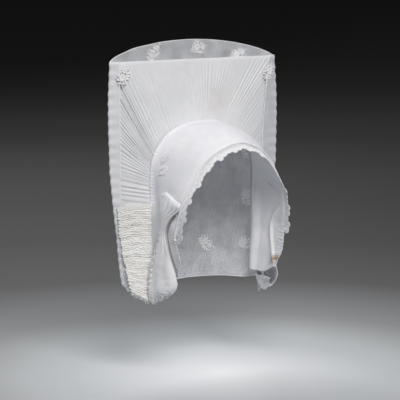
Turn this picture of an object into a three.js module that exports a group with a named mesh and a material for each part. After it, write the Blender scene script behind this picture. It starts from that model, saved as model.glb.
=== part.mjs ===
import * as THREE from "three";

// A tall starched coiffe: a hood over the head, a pleated panel standing behind it and a tulle veil round
// the back.
// Millimetres, +Z up. The face looks along -Y, +X is the wearer's left, and the origin is where the crown
// of the head meets the inside of the hood.

// Hood
const hoodHalf = 98; // half the width over the ears
const hoodDrop = 245; // how far the sides reach below the crown
const seamDepth = 54; // from the crown back to the rear seam
const faceDepth = 49; // from the crown forward to the cloth's face edge
const seamRise = 4; // top of the rear seam above the crown
const springDrop = 82; // where the rear seam's round top becomes its straight sides
const archPower = 2.3; // squareness of the round top, 2 being an ellipse
const crownBulge = 13; // fullness between seam and face edge over the crown
const sideBulge = 2.5; // the same over the ears
const crownSpan = { from: 0.05, to: 0.5 }; // shares of the way down over which the crown's fullness fades
const footSpan = { from: 0.75, to: 1 }; // and the sides' fullness
const hoodWall = 1.6;

// Lace along the face edge
const laceWidth = 10;
const laceWall = 1.2;
const laceDrop = 174; // where the lace ends, below the crown
const laceTaper = 8; // length over which it narrows to its ends
const laceEndWidth = 4;
const scallopPitch = 11;
const scallopDepth = 3;
const pipingRadius = 1.1;
const pipingShare = 0.98; // of the lace's length that the cord follows

// Pleated panel
const fanHalf = 157; // half the width of the squared edge
const fanTop = 107; // its top edge above the crown
const fanBottom = 243; // its lower ends below the crown
const fanFootHalf = 130; // half the width at the lower ends
const fanTilt = 21; // how far the edge stands behind the rear seam
const fanDrawIn = 20; // how far the wearer's left edge is drawn in beside the head
const fanNarrowing = 97; // where its sides start to narrow, below the crown
const fanInset = 0.5; // how far its pleats start inside the middle of the hood's wall
const fanWall = 1.2;
const pleatCount = 56;
const pleatDepth = 0.8; // at mid length, less at the seam and at the edge
const pleatEndShare = 0.4; // what is left of the depth at both ends

// Tulle veil
const veilHalf = 165; // half its greatest width
const veilArch = 30; // height of the arched top above the panel's top edge
const veilFall = 270; // its lower corners below the crown
const napeRise = 25; // how much higher the hem is at the nape
const veilBulge = 38; // fullness over the back of the head
const veilOverlap = 9; // how far its turned strips lap over the panel's front
const veilBillow = 5; // how far the wearer's left side stands out beyond the right
const veilFullness = { back: 0.8, arch: 0.75 }; // of its back and of its arched top, 0.5 being round
const veilWall = 1;

// Crimped bands
const bandTop = 120; // top edge below the crown
const bandLength = 140;
const bandWidth = 57;
const bandSlant = 22; // how much lower the inner end of the bottom edge hangs
const bandCorner = { drop: 5, share: 0.4 }; // how far its top edge droops outwards, over this share of it
const bandForward = 14; // how far the bottom comes forward off the panel
const bandWall = 2;
const crimpCount = 24;
const crimpDepth = 0.8;

// Lappets
const lappetWall = 1.4;
const lappetSwell = 5; // how far a lobe swells outwards
const lobeStand = 20; // how far the lobe's rear edge stands off the hood
const trimWidth = 4.5;
const trimWall = 1;
const trimPitch = 9;
const trimDepth = 1.5;

const clearance = 0.3; // between pieces that are sewn or pinned together
const seamClearance = 0.6; // the same where a wall meets a tilted one edge on

// Cloth's face edge from the crown down one side. x is a share of hoodHalf, y of faceDepth, z of hoodDrop.
// pull is how much further back the wearer's right side stands, a share of faceDepth.
const faceRows = [
  { x: 0, y: -1, z: -0.092, pull: 0 },
  { x: 0.4, y: -0.945, z: -0.14, pull: 0 },
  { x: 0.64, y: -0.87, z: -0.212, pull: 0 },
  { x: 0.84, y: -0.825, z: -0.33, pull: 0 },
  { x: 0.955, y: -0.79, z: -0.405, pull: 0 },
  { x: 1.025, y: -0.72, z: -0.49, pull: 0.02 },
  { x: 1.06, y: -0.64, z: -0.61, pull: 0.09 },
  { x: 1.06, y: -0.62, z: -0.7, pull: 0.18 },
  { x: 1.03, y: -0.63, z: -0.8, pull: 0.08 },
  { x: 1, y: -0.61, z: -0.88, pull: 0.02 },
  { x: 0.96, y: -0.52, z: -0.95, pull: 0 },
  { x: 0.94, y: -0.45, z: -1, pull: 0 },
];

// Rear seam below its round top. x is a share of hoodHalf and z of hoodDrop.
const seamFootRows = [
  { x: 1, z: -0.55 },
  { x: 0.995, z: -0.78 },
  { x: 0.97, z: -1 },
];

// Where a pleat that ends at a place on the panel's edge starts on the rear seam.
// edge and seam are shares of the way from top centre to the lower end.
const pleatRows = [
  { edge: 0, seam: 0 },
  { edge: 0.16, seam: 0.17 },
  { edge: 0.31, seam: 0.325 },
  { edge: 0.47, seam: 0.4 },
  { edge: 0.63, seam: 0.47 },
  { edge: 0.7, seam: 0.54 },
  { edge: 1, seam: 1 },
];

// Veil from its top to its lower corners. z is a share of fanTop above the crown and of veilFall below it,
// half of veilHalf, and bulge of veilBulge.
const veilRows = [
  { z: 1, half: 0.985, bulge: 0.4 },
  { z: 0.45, half: 1, bulge: 0.62 },
  { z: 0, half: 1, bulge: 0.85 },
  { z: -0.25, half: 0.99, bulge: 1 },
  { z: -0.44, half: 0.965, bulge: 1 },
  { z: -0.64, half: 0.93, bulge: 0.8 },
  { z: -0.88, half: 0.885, bulge: 0.55 },
  { z: -1, half: 0.82, bulge: 0.5 },
];

// Crimped band from top to bottom. drop is a share of bandLength, outer the outer border as a share of
// fanHalf, inner how far the inner border stands off the hood as a share of bandWidth, and forward is a
// share of bandForward.
const bandRows = [
  { drop: 0, outer: 1.005, inner: 0.04, forward: 0 },
  { drop: 0.35, outer: 0.975, inner: 0.05, forward: 0.05 },
  { drop: 0.7, outer: 0.93, inner: 0.1, forward: 0.4 },
  { drop: 1, outer: 0.885, inner: 0.2, forward: 1 },
];

// Lappet from its gathered top edge to the lobe and the part turned under it. rear and fold are its two
// edges. Off is how far each stands off the hood, a share of lobeStand, Y is a share of seamDepth behind the
// crown and of faceDepth before it, Z of hoodDrop and swell of lappetSwell.
const lappetRows = [
  { rearOff: 0, rearY: 0.22, rearZ: -0.39, foldOff: 0, foldY: -0.62, foldZ: -0.455, swell: 0.1 },
  { rearOff: 0.02, rearY: 0.36, rearZ: -0.44, foldOff: 0.02, foldY: -0.6, foldZ: -0.49, swell: 0.7 },
  { rearOff: 0.05, rearY: 0.4, rearZ: -0.52, foldOff: 0.08, foldY: -0.26, foldZ: -0.55, swell: 0.8 },
  { rearOff: 0.08, rearY: 0.34, rearZ: -0.6, foldOff: 0.08, foldY: -0.02, foldZ: -0.61, swell: 0.4 },
  { rearOff: 0.15, rearY: 0.28, rearZ: -0.67, foldOff: 0.05, foldY: 0.1, foldZ: -0.67, swell: 0.2 },
  { rearOff: 0.38, rearY: 0.38, rearZ: -0.76, foldOff: 0.04, foldY: 0.02, foldZ: -0.76, swell: 0.5 },
  { rearOff: 0.65, rearY: 0.54, rearZ: -0.86, foldOff: 0.05, foldY: -0.14, foldZ: -0.86, swell: 0.9 },
  { rearOff: 0.9, rearY: 0.6, rearZ: -0.95, foldOff: 0.15, foldY: -0.29, foldZ: -0.94, swell: 1 },
  { rearOff: 1, rearY: 0.62, rearZ: -1.03, foldOff: 0.25, foldY: -0.37, foldZ: -0.99, swell: 1 },
  { rearOff: 0.97, rearY: 0.6, rearZ: -1.09, foldOff: 0.32, foldY: -0.28, foldZ: -1.03, swell: 0.8 },
  { rearOff: 0.8, rearY: 0.6, rearZ: -1.135, foldOff: 0.4, foldY: 0.1, foldZ: -1.085, swell: 0.3 },
  { rearOff: 0.4, rearY: 0.66, rearZ: -1.12, foldOff: 0.28, foldY: 0.12, foldZ: -1.075, swell: 0 },
  { rearOff: 0, rearY: 0.74, rearZ: -1.03, foldOff: 0, foldY: -0.12, foldZ: -1.03, swell: 0 },
];

// The lappet's rows between which its rear edge carries the scalloped trim.
const trimRows = { from: 3, to: 9.5 };

const lawn = new THREE.MeshStandardMaterial({ color: 0xf1f2f6, roughness: 0.85, metalness: 0 });
const pleatedLawn = new THREE.MeshStandardMaterial({ color: 0xe9ebf0, roughness: 0.8, metalness: 0 });
const tulle = new THREE.MeshStandardMaterial({ color: 0xc9cdd6, roughness: 0.9, metalness: 0 });
const lace = new THREE.MeshStandardMaterial({ color: 0xf6f6f8, roughness: 0.9, metalness: 0 });
const cream = new THREE.MeshStandardMaterial({ color: 0xece9df, roughness: 0.9, metalness: 0 });

const coiffe = new THREE.Group();
coiffe.name = "coiffe";

function addMesh(name, geometry, material) {
  const mesh = new THREE.Mesh(geometry, material);
  mesh.name = name;
  coiffe.add(mesh);
}

// The value of a table's column at a place along its key column, eased between rows.
function lookUp(rows, key, column, at) {
  const rising = rows[rows.length - 1][key] > rows[0][key];
  let i = 1;
  while (i < rows.length - 1 && (rising ? at > rows[i][key] : at < rows[i][key])) {
    i++;
  }
  const a = rows[i - 1];
  const b = rows[i];
  const t = THREE.MathUtils.clamp((at - a[key]) / (b[key] - a[key]), 0, 1);
  return THREE.MathUtils.lerp(a[column], b[column], t);
}

// A depth from a share of the part of the hood behind or before the crown.
function depthOf(share) {
  return share * (share > 0 ? seamDepth : faceDepth);
}

function gridNormals(grid) {
  const at = (i, j) => {
    const row = grid[THREE.MathUtils.clamp(i, 0, grid.length - 1)];
    return row[THREE.MathUtils.clamp(j, 0, row.length - 1)];
  };
  return grid.map((row, i) =>
    row.map((point, j) => {
      const along = at(i, j + 1).clone().sub(at(i, j - 1));
      const across = at(i + 1, j).clone().sub(at(i - 1, j));
      return along.cross(across).normalize();
    }),
  );
}

// A closed wall from a grid of points on its middle surface. keep(i, j) says which cells are cloth.
function clothFrom(grid, wall, keep = () => true) {
  const normals = gridNormals(grid);
  const columns = grid[0].length;
  const back = grid.length * columns;
  const positions = [];
  for (const side of [0.5, -0.5]) {
    grid.forEach((row, i) =>
      row.forEach((point, j) => {
        positions.push(...point.clone().addScaledVector(normals[i][j], side * wall).toArray());
      }),
    );
  }
  const faces = [];
  const edges = new Map();
  const corner = (i, j) => i * columns + j;
  const addFace = (a, b, c) => {
    faces.push(a, b, c, back + c, back + b, back + a);
    for (const [from, to] of [[a, b], [b, c], [c, a]]) {
      if (!edges.delete(`${to} ${from}`)) {
        edges.set(`${from} ${to}`, [from, to]);
      }
    }
  };
  for (let i = 0; i < grid.length - 1; i++) {
    for (let j = 0; j < columns - 1; j++) {
      if (keep(i, j)) {
        addFace(corner(i, j), corner(i, j + 1), corner(i + 1, j + 1));
        addFace(corner(i, j), corner(i + 1, j + 1), corner(i + 1, j));
      }
    }
  }
  for (const [from, to] of edges.values()) {
    faces.push(to, from, back + from, to, back + from, back + to);
  }
  const geometry = new THREE.BufferGeometry();
  geometry.setAttribute("position", new THREE.Float32BufferAttribute(positions, 3));
  geometry.setIndex(faces);
  geometry.computeVertexNormals();
  return geometry;
}

function makeGrid(rows, columns, pointAt) {
  const grid = [];
  for (let i = 0; i <= rows; i++) {
    grid.push([]);
    for (let j = 0; j <= columns; j++) {
      grid[i].push(pointAt(i / rows, j / columns));
    }
  }
  return grid;
}

// One smooth curve over the crown, from points down the wearer's left side and points down the right.
function overCrown(pointsDown) {
  const right = pointsDown(-1).slice(1);
  return new THREE.CatmullRomCurve3([...right.reverse(), ...pointsDown(1)]);
}

// A grid whose rows run the other way on the wearer's right, so that its front still faces out.
function turned(grid, side) {
  return side < 0 ? grid.map((row) => row.reverse()) : grid;
}

// The rear seam down one side: a round top, then nearly straight to the foot.
function seamDown(side) {
  const points = [];
  const archSteps = 6;
  for (let k = 0; k <= archSteps; k++) {
    const angle = (k / archSteps) * (Math.PI / 2);
    const x = hoodHalf * Math.sin(angle) ** (2 / archPower);
    const z = -springDrop + (springDrop + seamRise) * Math.cos(angle) ** (2 / archPower);
    points.push(new THREE.Vector3(side * x, seamDepth, z));
  }
  for (const row of seamFootRows) {
    points.push(new THREE.Vector3(side * row.x * hoodHalf, seamDepth, row.z * hoodDrop));
  }
  return points;
}

function faceDown(side) {
  return faceRows.map((row) => {
    const y = row.y + (side < 0 ? row.pull : 0);
    return new THREE.Vector3(side * row.x * hoodHalf, y * faceDepth, row.z * hoodDrop);
  });
}

const seamCurve = overCrown(seamDown);
const faceCurve = overCrown(faceDown);

// A point on the seam or the face edge, from -1 at the right foot over the crown to 1 at the left foot.
function onCurve(curve, u) {
  return curve.getPointAt(THREE.MathUtils.clamp((1 + u) / 2, 0, 1));
}

// The hood's middle surface. u runs as on its edges, v from 0 at the rear seam to 1 at the face edge.
function hoodPoint(u, v) {
  const seam = onCurve(seamCurve, u);
  const face = onCurve(faceCurve, u);
  const round = THREE.MathUtils.smoothstep(Math.abs(u), crownSpan.from, crownSpan.to);
  const foot = 1 - THREE.MathUtils.smoothstep(Math.abs(u), footSpan.from, footSpan.to);
  const bulge = THREE.MathUtils.lerp(crownBulge, sideBulge * foot, round);
  const out = new THREE.Vector3(seam.x, 0, seam.z + springDrop);
  if (seam.z < -springDrop) {
    out.z = 0;
  }
  const middle = seam.clone().lerp(face, v);
  return middle.addScaledVector(out.normalize(), 4 * bulge * v * (1 - v));
}

function hoodNormal(u, v) {
  const step = 1e-3;
  const along = hoodPoint(u + step, v).sub(hoodPoint(u - step, v));
  const across = hoodPoint(u, v + step).sub(hoodPoint(u, v - step));
  return across.cross(along).normalize().negate();
}

// Share of the lace's full width at a place along the face edge.
function laceShare(u) {
  const half = faceCurve.getLength() / 2;
  return THREE.MathUtils.smoothstep((laceEnd - Math.abs(u)) * half, 0, laceTaper);
}

// Where the lace ends, as a share of the way down the face edge.
const laceEnd = shareAtDrop(faceCurve, laceDrop);

function shareAtDrop(curve, drop) {
  const step = 0.002;
  let u = 1;
  while (u > 0 && onCurve(curve, u).z < -drop) {
    u -= step;
  }
  return u;
}

// The hood's depth from rear seam to face edge.
function depthAt(u) {
  return onCurve(seamCurve, u).distanceTo(onCurve(faceCurve, u));
}

function addHood() {
  const rows = 7;
  const columns = 60;
  const grid = makeGrid(rows, columns, (row, column) => hoodPoint(2 * column - 1, row));
  addMesh("hood", clothFrom(grid, hoodWall), lawn);
}

function addLace() {
  const count = Math.round((laceEnd * faceCurve.getLength()) / scallopPitch);
  const perScallop = 3;
  const rows = 3;
  const grid = makeGrid(rows, count * perScallop, (row, column) => {
    const u = laceEnd * (2 * column - 1);
    const phase = (column * count) % 1;
    const scallop = scallopDepth * (1 - Math.sin(Math.PI * phase));
    const width = THREE.MathUtils.lerp(laceEndWidth, laceWidth - scallop, laceShare(u));
    return hoodPoint(u, 1 + (seamClearance + width * row) / depthAt(u));
  });
  const isHole = (i, j) => i === 1 && j % perScallop === 1;
  addMesh("lace_edging", clothFrom(grid, laceWall, (i, j) => !isHole(i, j)), lace);
}

function addPiping() {
  const points = [];
  const steps = 44;
  for (let k = 0; k <= steps; k++) {
    const u = pipingShare * laceEnd * ((2 * k) / steps - 1);
    const v = 1 - (1.5 * pipingRadius) / depthAt(u);
    const lift = hoodWall / 2 + clearance + pipingRadius;
    points.push(hoodPoint(u, v).addScaledVector(hoodNormal(u, v), lift));
  }
  const sides = 6;
  const rim = [];
  for (let k = 0; k < sides; k++) {
    const angle = (2 * Math.PI * k) / sides;
    rim.push(new THREE.Vector2(Math.cos(angle), Math.sin(angle)).multiplyScalar(pipingRadius));
  }
  const path = new THREE.CatmullRomCurve3(points);
  const options = { steps, extrudePath: path, bevelEnabled: false };
  const geometry = new THREE.ExtrudeGeometry(new THREE.Shape(rim), options);
  addMesh("edge_piping", geometry, lawn);
}

// How far behind the crown the side of the panel lies at a distance x from the middle.
const fanSeamY = seamDepth + seamClearance + fanWall / 2 + pleatDepth * pleatEndShare;
const fanSlope = fanTilt / (fanHalf - hoodHalf);

function fanSideY(x) {
  return fanSeamY + fanSlope * (Math.abs(x) - hoodHalf);
}

// Half of the panel's squared edge, from top centre round the corner to the lower end.
function fanEdge(share, side) {
  const sideLength = fanTop + fanBottom;
  const along = share * (fanHalf + sideLength);
  if (along <= fanHalf) {
    return new THREE.Vector3(along * side, fanSeamY + fanTilt, fanTop);
  }
  const z = fanTop - (along - fanHalf);
  const foot = THREE.MathUtils.smoothstep(-z, fanNarrowing, fanBottom);
  const drawIn = side > 0 ? fanDrawIn * Math.sin(Math.PI * Math.min((along - fanHalf) / sideLength, 1)) : 0;
  const x = THREE.MathUtils.lerp(fanHalf, fanFootHalf, foot) - drawIn;
  return new THREE.Vector3(x * side, fanSideY(x), z);
}

// The panel's middle surface. u runs along its edge from the lower right end to the lower left, w from the
// hood's rear seam to the edge.
function fanPoint(u, w) {
  const side = Math.sign(u) || 1;
  const share = Math.abs(u);
  const edge = fanEdge(share, side);
  const start = onCurve(seamCurve, lookUp(pleatRows, "edge", "seam", share) * side);
  start.y = fanSeamY;
  start.x -= side * Math.min(fanInset, Math.abs(start.x));
  return start.lerp(edge, w);
}

function addFan() {
  const rows = 5;
  const grid = makeGrid(rows, 2 * pleatCount, (row, column) => fanPoint(2 * column - 1, row));
  const normals = gridNormals(grid);
  grid.forEach((row, i) => {
    const w = i / rows;
    const depth = pleatDepth * THREE.MathUtils.lerp(pleatEndShare, 1, Math.sin(Math.PI * w));
    row.forEach((point, j) => point.addScaledVector(normals[i][j], j % 2 ? depth : -depth));
  });
  addMesh("fan_panel", clothFrom(grid, fanWall), pleatedLawn);
}

// Radius of the veil's turn round the panel's side.
const veilTurn = fanWall / 2 + pleatDepth + clearance + veilWall / 2;

// Columns of half the veil: its back, its turn and the strip on the panel's front.
const veilColumns = { back: 10, turn: 3, strip: 1 };
const veilSteps = veilColumns.back + veilColumns.turn + veilColumns.strip;

function veilShare(z) {
  return z / (z > 0 ? fanTop : veilFall);
}

// One side of the veil at height z. a runs from 0 at the middle of the back to 1 at the end of the turned-in
// strip, and lift(x, z) gives the height of a point on the back.
function veilPoint(a, side, z, lift) {
  const billow = side > 0 ? veilBillow * Math.cos((Math.PI / 2) * veilShare(z)) : 0;
  const half = veilHalf * lookUp(veilRows, "z", "half", veilShare(z)) + billow;
  const bulge = veilBulge * lookUp(veilRows, "z", "bulge", veilShare(z));
  const edgeX = half - veilTurn;
  const edgeY = fanSideY(edgeX);
  const backShare = veilColumns.back / veilSteps;
  const turnShare = backShare + veilColumns.turn / veilSteps;
  if (a <= backShare) {
    const t = a / backShare;
    const y = edgeY + veilTurn + bulge * (1 - t * t) ** veilFullness.back;
    return new THREE.Vector3(edgeX * t, y, lift(t, z));
  }
  if (a <= turnShare) {
    const angle = (Math.PI * (a - backShare)) / (turnShare - backShare);
    return new THREE.Vector3(edgeX + veilTurn * Math.sin(angle), edgeY + veilTurn * Math.cos(angle), z);
  }
  const alongEdge = fanHalf + fanTop - Math.max(z, -fanBottom);
  const x = Math.abs(fanEdge(alongEdge / (fanHalf + fanTop + fanBottom), side).x) - veilOverlap;
  return new THREE.Vector3(x, fanSideY(x) - veilTurn, z);
}

function addVeil() {
  const rows = 12;
  const archAt = (t) => veilArch * (1 - t * t) ** veilFullness.arch;
  const napeAt = (t) => napeRise * (1 - t * t);
  const grid = makeGrid(rows, 2 * veilSteps, (row, column) => {
    const side = column < 0.5 ? -1 : 1;
    const a = Math.abs(2 * column - 1);
    const z = THREE.MathUtils.lerp(fanTop, -veilFall, row);
    const lift = (t, height) => height + archAt(t) * (1 - row) ** 2 + napeAt(t) * row ** 2;
    const point = veilPoint(a, side, z, lift);
    point.x *= side;
    return point;
  });
  addMesh("back_veil", clothFrom(grid, veilWall), tulle);
}

// How far a crimped band's middle lies in front of the panel's.
const bandStack = fanWall / 2 + pleatDepth + veilWall + 2 * clearance + crimpDepth + bandWall / 2;

// The band's middle surface. drop runs from its top edge down, across from its outer border inwards.
function bandPoint(side, drop, across) {
  const outer = fanHalf * lookUp(bandRows, "drop", "outer", drop);
  const inner = hoodHalf + hoodWall + clearance + bandWidth * lookUp(bandRows, "drop", "inner", drop);
  const x = THREE.MathUtils.lerp(outer, inner, across);
  const droop = bandCorner.drop * (1 - THREE.MathUtils.smoothstep(across, 0, bandCorner.share)) * (1 - drop);
  const z = -bandTop - droop - bandLength * drop - bandSlant * across * drop ** 3;
  const forward = bandForward * lookUp(bandRows, "drop", "forward", drop);
  return new THREE.Vector3(side * x, fanSideY(x) - bandStack - forward, z);
}

function addBand(name, side) {
  const columns = 4;
  const grid = makeGrid(2 * crimpCount, columns, (drop, across) => bandPoint(side, drop, across));
  const normals = gridNormals(grid);
  grid.forEach((row, i) =>
    row.forEach((point, j) => point.addScaledVector(normals[i][j], (i % 2 ? 1 : -1) * crimpDepth)),
  );
  addMesh(name, clothFrom(turned(grid, side), bandWall), cream);
}

// How far out the hood's middle surface lies on one side, at a depth y and a height z.
function hoodSideX(side, y, z) {
  const height = Math.max(z, -hoodDrop);
  let u = 0.7;
  let v = 0.5;
  for (let pass = 0; pass < 16; pass++) {
    const point = hoodPoint(side * u, v);
    u = Math.min(u + (2 * (point.z - height)) / seamCurve.getLength(), 1);
    v = THREE.MathUtils.clamp(v + (point.y - y) / depthAt(side * u), 0, 1);
  }
  return Math.abs(hoodPoint(side * u, v).x);
}

function lappetEdge(side, edge) {
  const lift = hoodWall / 2 + clearance + lappetWall / 2;
  const points = lappetRows.map((row) => {
    const y = depthOf(row[`${edge}Y`]);
    const z = row[`${edge}Z`] * hoodDrop;
    const x = hoodSideX(side, y, z) + lift + row[`${edge}Off`] * lobeStand;
    return new THREE.Vector3(side * x, y, z);
  });
  return new THREE.CatmullRomCurve3(points);
}

// A lappet's middle surface. s runs from its gathered top edge down round the lobe, t from rear to fold.
function lappetSurface(side) {
  const rear = lappetEdge(side, "rear");
  const fold = lappetEdge(side, "fold");
  return (s, t) => {
    const place = s * (lappetRows.length - 1);
    const first = Math.min(Math.floor(place), lappetRows.length - 2);
    const swell = THREE.MathUtils.lerp(lappetRows[first].swell, lappetRows[first + 1].swell, place - first);
    const point = rear.getPoint(s).lerp(fold.getPoint(s), t);
    point.x += side * lappetSwell * swell * Math.sin(Math.PI * t);
    return point;
  };
}

function addLappet(name, side) {
  const rows = 22;
  const columns = 6;
  const grid = makeGrid(rows, columns, lappetSurface(side));
  addMesh(name, clothFrom(turned(grid, side), lappetWall), lawn);
}

// Scallops along the lappet's rear edge, between two rows of its table.
function addTrim(name, side) {
  const surface = lappetSurface(side);
  const last = lappetRows.length - 1;
  const from = trimRows.from / last;
  const to = trimRows.to / last;
  let length = 0;
  for (let row = trimRows.from; row < trimRows.to; row++) {
    length += surface(row / last, 0).distanceTo(surface((row + 1) / last, 0));
  }
  const count = Math.round(length / trimPitch);
  const perScallop = 2;
  const grid = makeGrid(1, count * perScallop, (row, column) => {
    const s = THREE.MathUtils.lerp(from, to, column);
    const edge = surface(s, 0);
    const away = edge.clone().sub(surface(s, 0.05)).normalize();
    const phase = (column * count) % 1;
    const reach = trimWidth - trimDepth * (1 - Math.sin(Math.PI * phase));
    return edge.addScaledVector(away, THREE.MathUtils.lerp(seamClearance, reach, row));
  });
  addMesh(name, clothFrom(turned(grid, side), trimWall), lace);
}

addHood();
addLace();
addPiping();
addFan();
addVeil();
for (const [name, side] of [["right", -1], ["left", 1]]) {
  addBand(`crimped_band_${name}`, side);
  addLappet(`lappet_${name}`, side);
  addTrim(`lappet_trim_${name}`, side);
}

export default coiffe;
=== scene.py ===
import math

import bpy
import numpy as np
from bpy.props import FloatProperty, FloatVectorProperty, IntProperty, PointerProperty
from mathutils import Matrix, Vector


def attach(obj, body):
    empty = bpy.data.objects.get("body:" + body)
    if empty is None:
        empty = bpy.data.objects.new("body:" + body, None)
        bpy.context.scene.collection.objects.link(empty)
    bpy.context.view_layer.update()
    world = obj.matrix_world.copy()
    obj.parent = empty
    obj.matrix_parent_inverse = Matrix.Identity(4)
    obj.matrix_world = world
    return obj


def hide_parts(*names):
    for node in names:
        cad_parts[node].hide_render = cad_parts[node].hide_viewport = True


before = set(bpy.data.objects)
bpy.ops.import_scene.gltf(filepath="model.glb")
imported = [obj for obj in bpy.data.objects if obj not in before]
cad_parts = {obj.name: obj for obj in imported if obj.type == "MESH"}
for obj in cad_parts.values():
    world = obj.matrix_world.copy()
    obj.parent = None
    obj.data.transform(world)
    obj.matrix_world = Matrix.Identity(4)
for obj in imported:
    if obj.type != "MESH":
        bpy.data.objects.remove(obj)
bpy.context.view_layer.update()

bl_info = {
    "name": "Starched coiffe",
    "version": (1, 0, 0),
    "blender": (4, 5, 0),
    "location": "View3D > Sidebar > Coiffe",
    "description": "Dresses the solids of a starched coiffe in lawn, tulle, lace and embroidery",
    "category": "Object",
}

# All shapes below are in millimetres until a mesh is made of them. x is to the wearer's left, y to the back
# and z up, and the origin is where the crown of the head meets the hood.
METRE = 1000.0

HOOD_HALF = 98.0  # half the width over the ears
HOOD_DROP = 245.0  # how far the sides reach below the crown
HOOD_WALL = 1.6
SEAM_DEPTH = 54.0  # from the crown back to the rear seam
FACE_DEPTH = 49.0  # from the crown forward to the cloth's face edge
SEAM_RISE = 4.0  # top of the rear seam above the crown
SPRING_DROP = 82.0  # where the rear seam's round top becomes its straight sides
ARCH_POWER = 2.3  # squareness of the round top, 2 being an ellipse
CROWN_BULGE = 13.0  # fullness between seam and face edge over the crown
SIDE_BULGE = 2.5  # the same over the ears
# Shares of the way down over which the crown's fullness fades, and then the sides'.
CROWN_SPAN = (0.05, 0.5)
FOOT_SPAN = (0.75, 1)
LACE_DROP = 174.0  # where the lace ends, below the crown
LACE_WIDTH = 10.0
PIPING_RADIUS = 1.1
PIPING_SHARE = 0.98  # of the lace's length that the cord follows
STITCH_PITCH = 4.5
FAN_HALF = 157.0  # half the width of the squared edge
FAN_TOP = 107.0  # its top edge above the crown
FAN_BOTTOM = 243.0  # its lower ends below the crown
FAN_FOOT_HALF = 130.0  # half the width at the lower ends
FAN_TILT = 21.0  # how far the edge stands behind the rear seam
FAN_DRAW_IN = 20.0  # how far the wearer's left edge is drawn in at mid height
FAN_NARROWING = 97.0  # where its sides start to narrow, below the crown
VEIL_HALF = 165.0  # half its greatest width
VEIL_ARCH = 30.0  # height of the arched top above the panel's top edge
VEIL_FALL = 270.0  # its lower corners below the crown
NAPE_RISE = 15.0  # how much higher the hem is at the nape
VEIL_BULGE = 38.0  # fullness of its back
VEIL_OVERLAP = 9.0  # how far its turned strips lap over the panel's front
VEIL_BILLOW = 5.0  # how far the wearer's left side stands out beyond the right
VEIL_TURN = 2.2  # from the middle of the panel's cloth to the middle of the veil's
VEIL_SLACK = 1.3  # unevenness of its back
# Fullness of the veil's back and of its arched top, 0.5 being round.
BACK_FULLNESS = 0.8
ARCH_FULLNESS = 0.75
# Shares of the way from the middle of the veil to the end of its strip, where the back and the turn end.
VEIL_BACK = 0.86
VEIL_ROUND = 0.92
BAND_TOP = 120.0  # top edge below the crown
BAND_LENGTH = 140.0
BAND_WIDTH = 57.0
BAND_SLANT = 22.0  # how much lower the inner end of the bottom edge hangs
BAND_FORWARD = 14.0  # how far the bottom comes forward off the panel
BAND_STACK = 5.2  # from the middle of the panel's cloth to the middle of the band's
BAND_CORNER = 5.0  # how far its top edge droops outwards
LAPPET_SEAT = 1.8  # from the middle of the hood's cloth to the middle of the lappet's
LAPPET_SWELL = 5.0  # how far a lobe swells outwards
LOBE_STAND = 20.0  # how far the lobe's rear edge stands off the hood
SEWN_GAP = 0.3  # between pieces that are sewn or pinned together
SEAM_GAP = 0.6  # the same where a wall meets a tilted one edge on
PANEL_SET = 0.92  # from that gap to the middle of the panel's cloth

# Columns: x as a share of HOOD_HALF, y of FACE_DEPTH, z of HOOD_DROP, and how much further back the wearer's
# right side stands, as a share of FACE_DEPTH.
FACE_ROWS = (
    (0, -1, -0.092, 0),
    (0.4, -0.945, -0.14, 0),
    (0.64, -0.87, -0.212, 0),
    (0.84, -0.825, -0.33, 0),
    (0.955, -0.79, -0.405, 0),
    (1.025, -0.72, -0.49, 0.02),
    (1.06, -0.64, -0.61, 0.09),
    (1.06, -0.62, -0.7, 0.18),
    (1.03, -0.63, -0.8, 0.08),
    (1, -0.61, -0.88, 0.02),
    (0.96, -0.52, -0.95, 0),
    (0.94, -0.45, -1, 0),
)
# Columns: x as a share of HOOD_HALF and z of HOOD_DROP.
SEAM_FOOT_ROWS = ((1, -0.55), (0.995, -0.78), (0.97, -1))
# Columns: place on the panel's edge and where its pleat starts on the seam, as shares from top centre down,
# on the wearer's right and then on the left, where the pleats lie flatter.
PLEAT_ROWS = (
    (0, 0, 0),
    (0.16, 0.17, 0.075),
    (0.31, 0.325, 0.16),
    (0.39, 0.365, 0.22),
    (0.47, 0.4, 0.3),
    (0.63, 0.47, 0.45),
    (0.7, 0.54, 0.54),
    (1, 1, 1),
)
# Columns: height as a share of FAN_TOP or VEIL_FALL, half width of VEIL_HALF, bulge of VEIL_BULGE.
VEIL_ROWS = (
    (1, 0.985, 0.4),
    (0.45, 1, 0.62),
    (0, 1, 0.85),
    (-0.25, 0.99, 1),
    (-0.44, 0.965, 1),
    (-0.64, 0.93, 0.8),
    (-0.88, 0.9, 0.55),
    (-0.95, 0.885, 0.52),
    (-1, 0.83, 0.5),
)
# Columns: drop as a share of BAND_LENGTH, outer border of FAN_HALF, inner border of BAND_WIDTH off the hood,
# and how far it comes forward as a share of BAND_FORWARD.
BAND_ROWS = ((0, 0.99, 0.04, 0), (0.35, 0.965, 0.04, 0.05), (0.7, 0.93, 0.03, 0.4), (1, 0.9, 0.05, 1))
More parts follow.
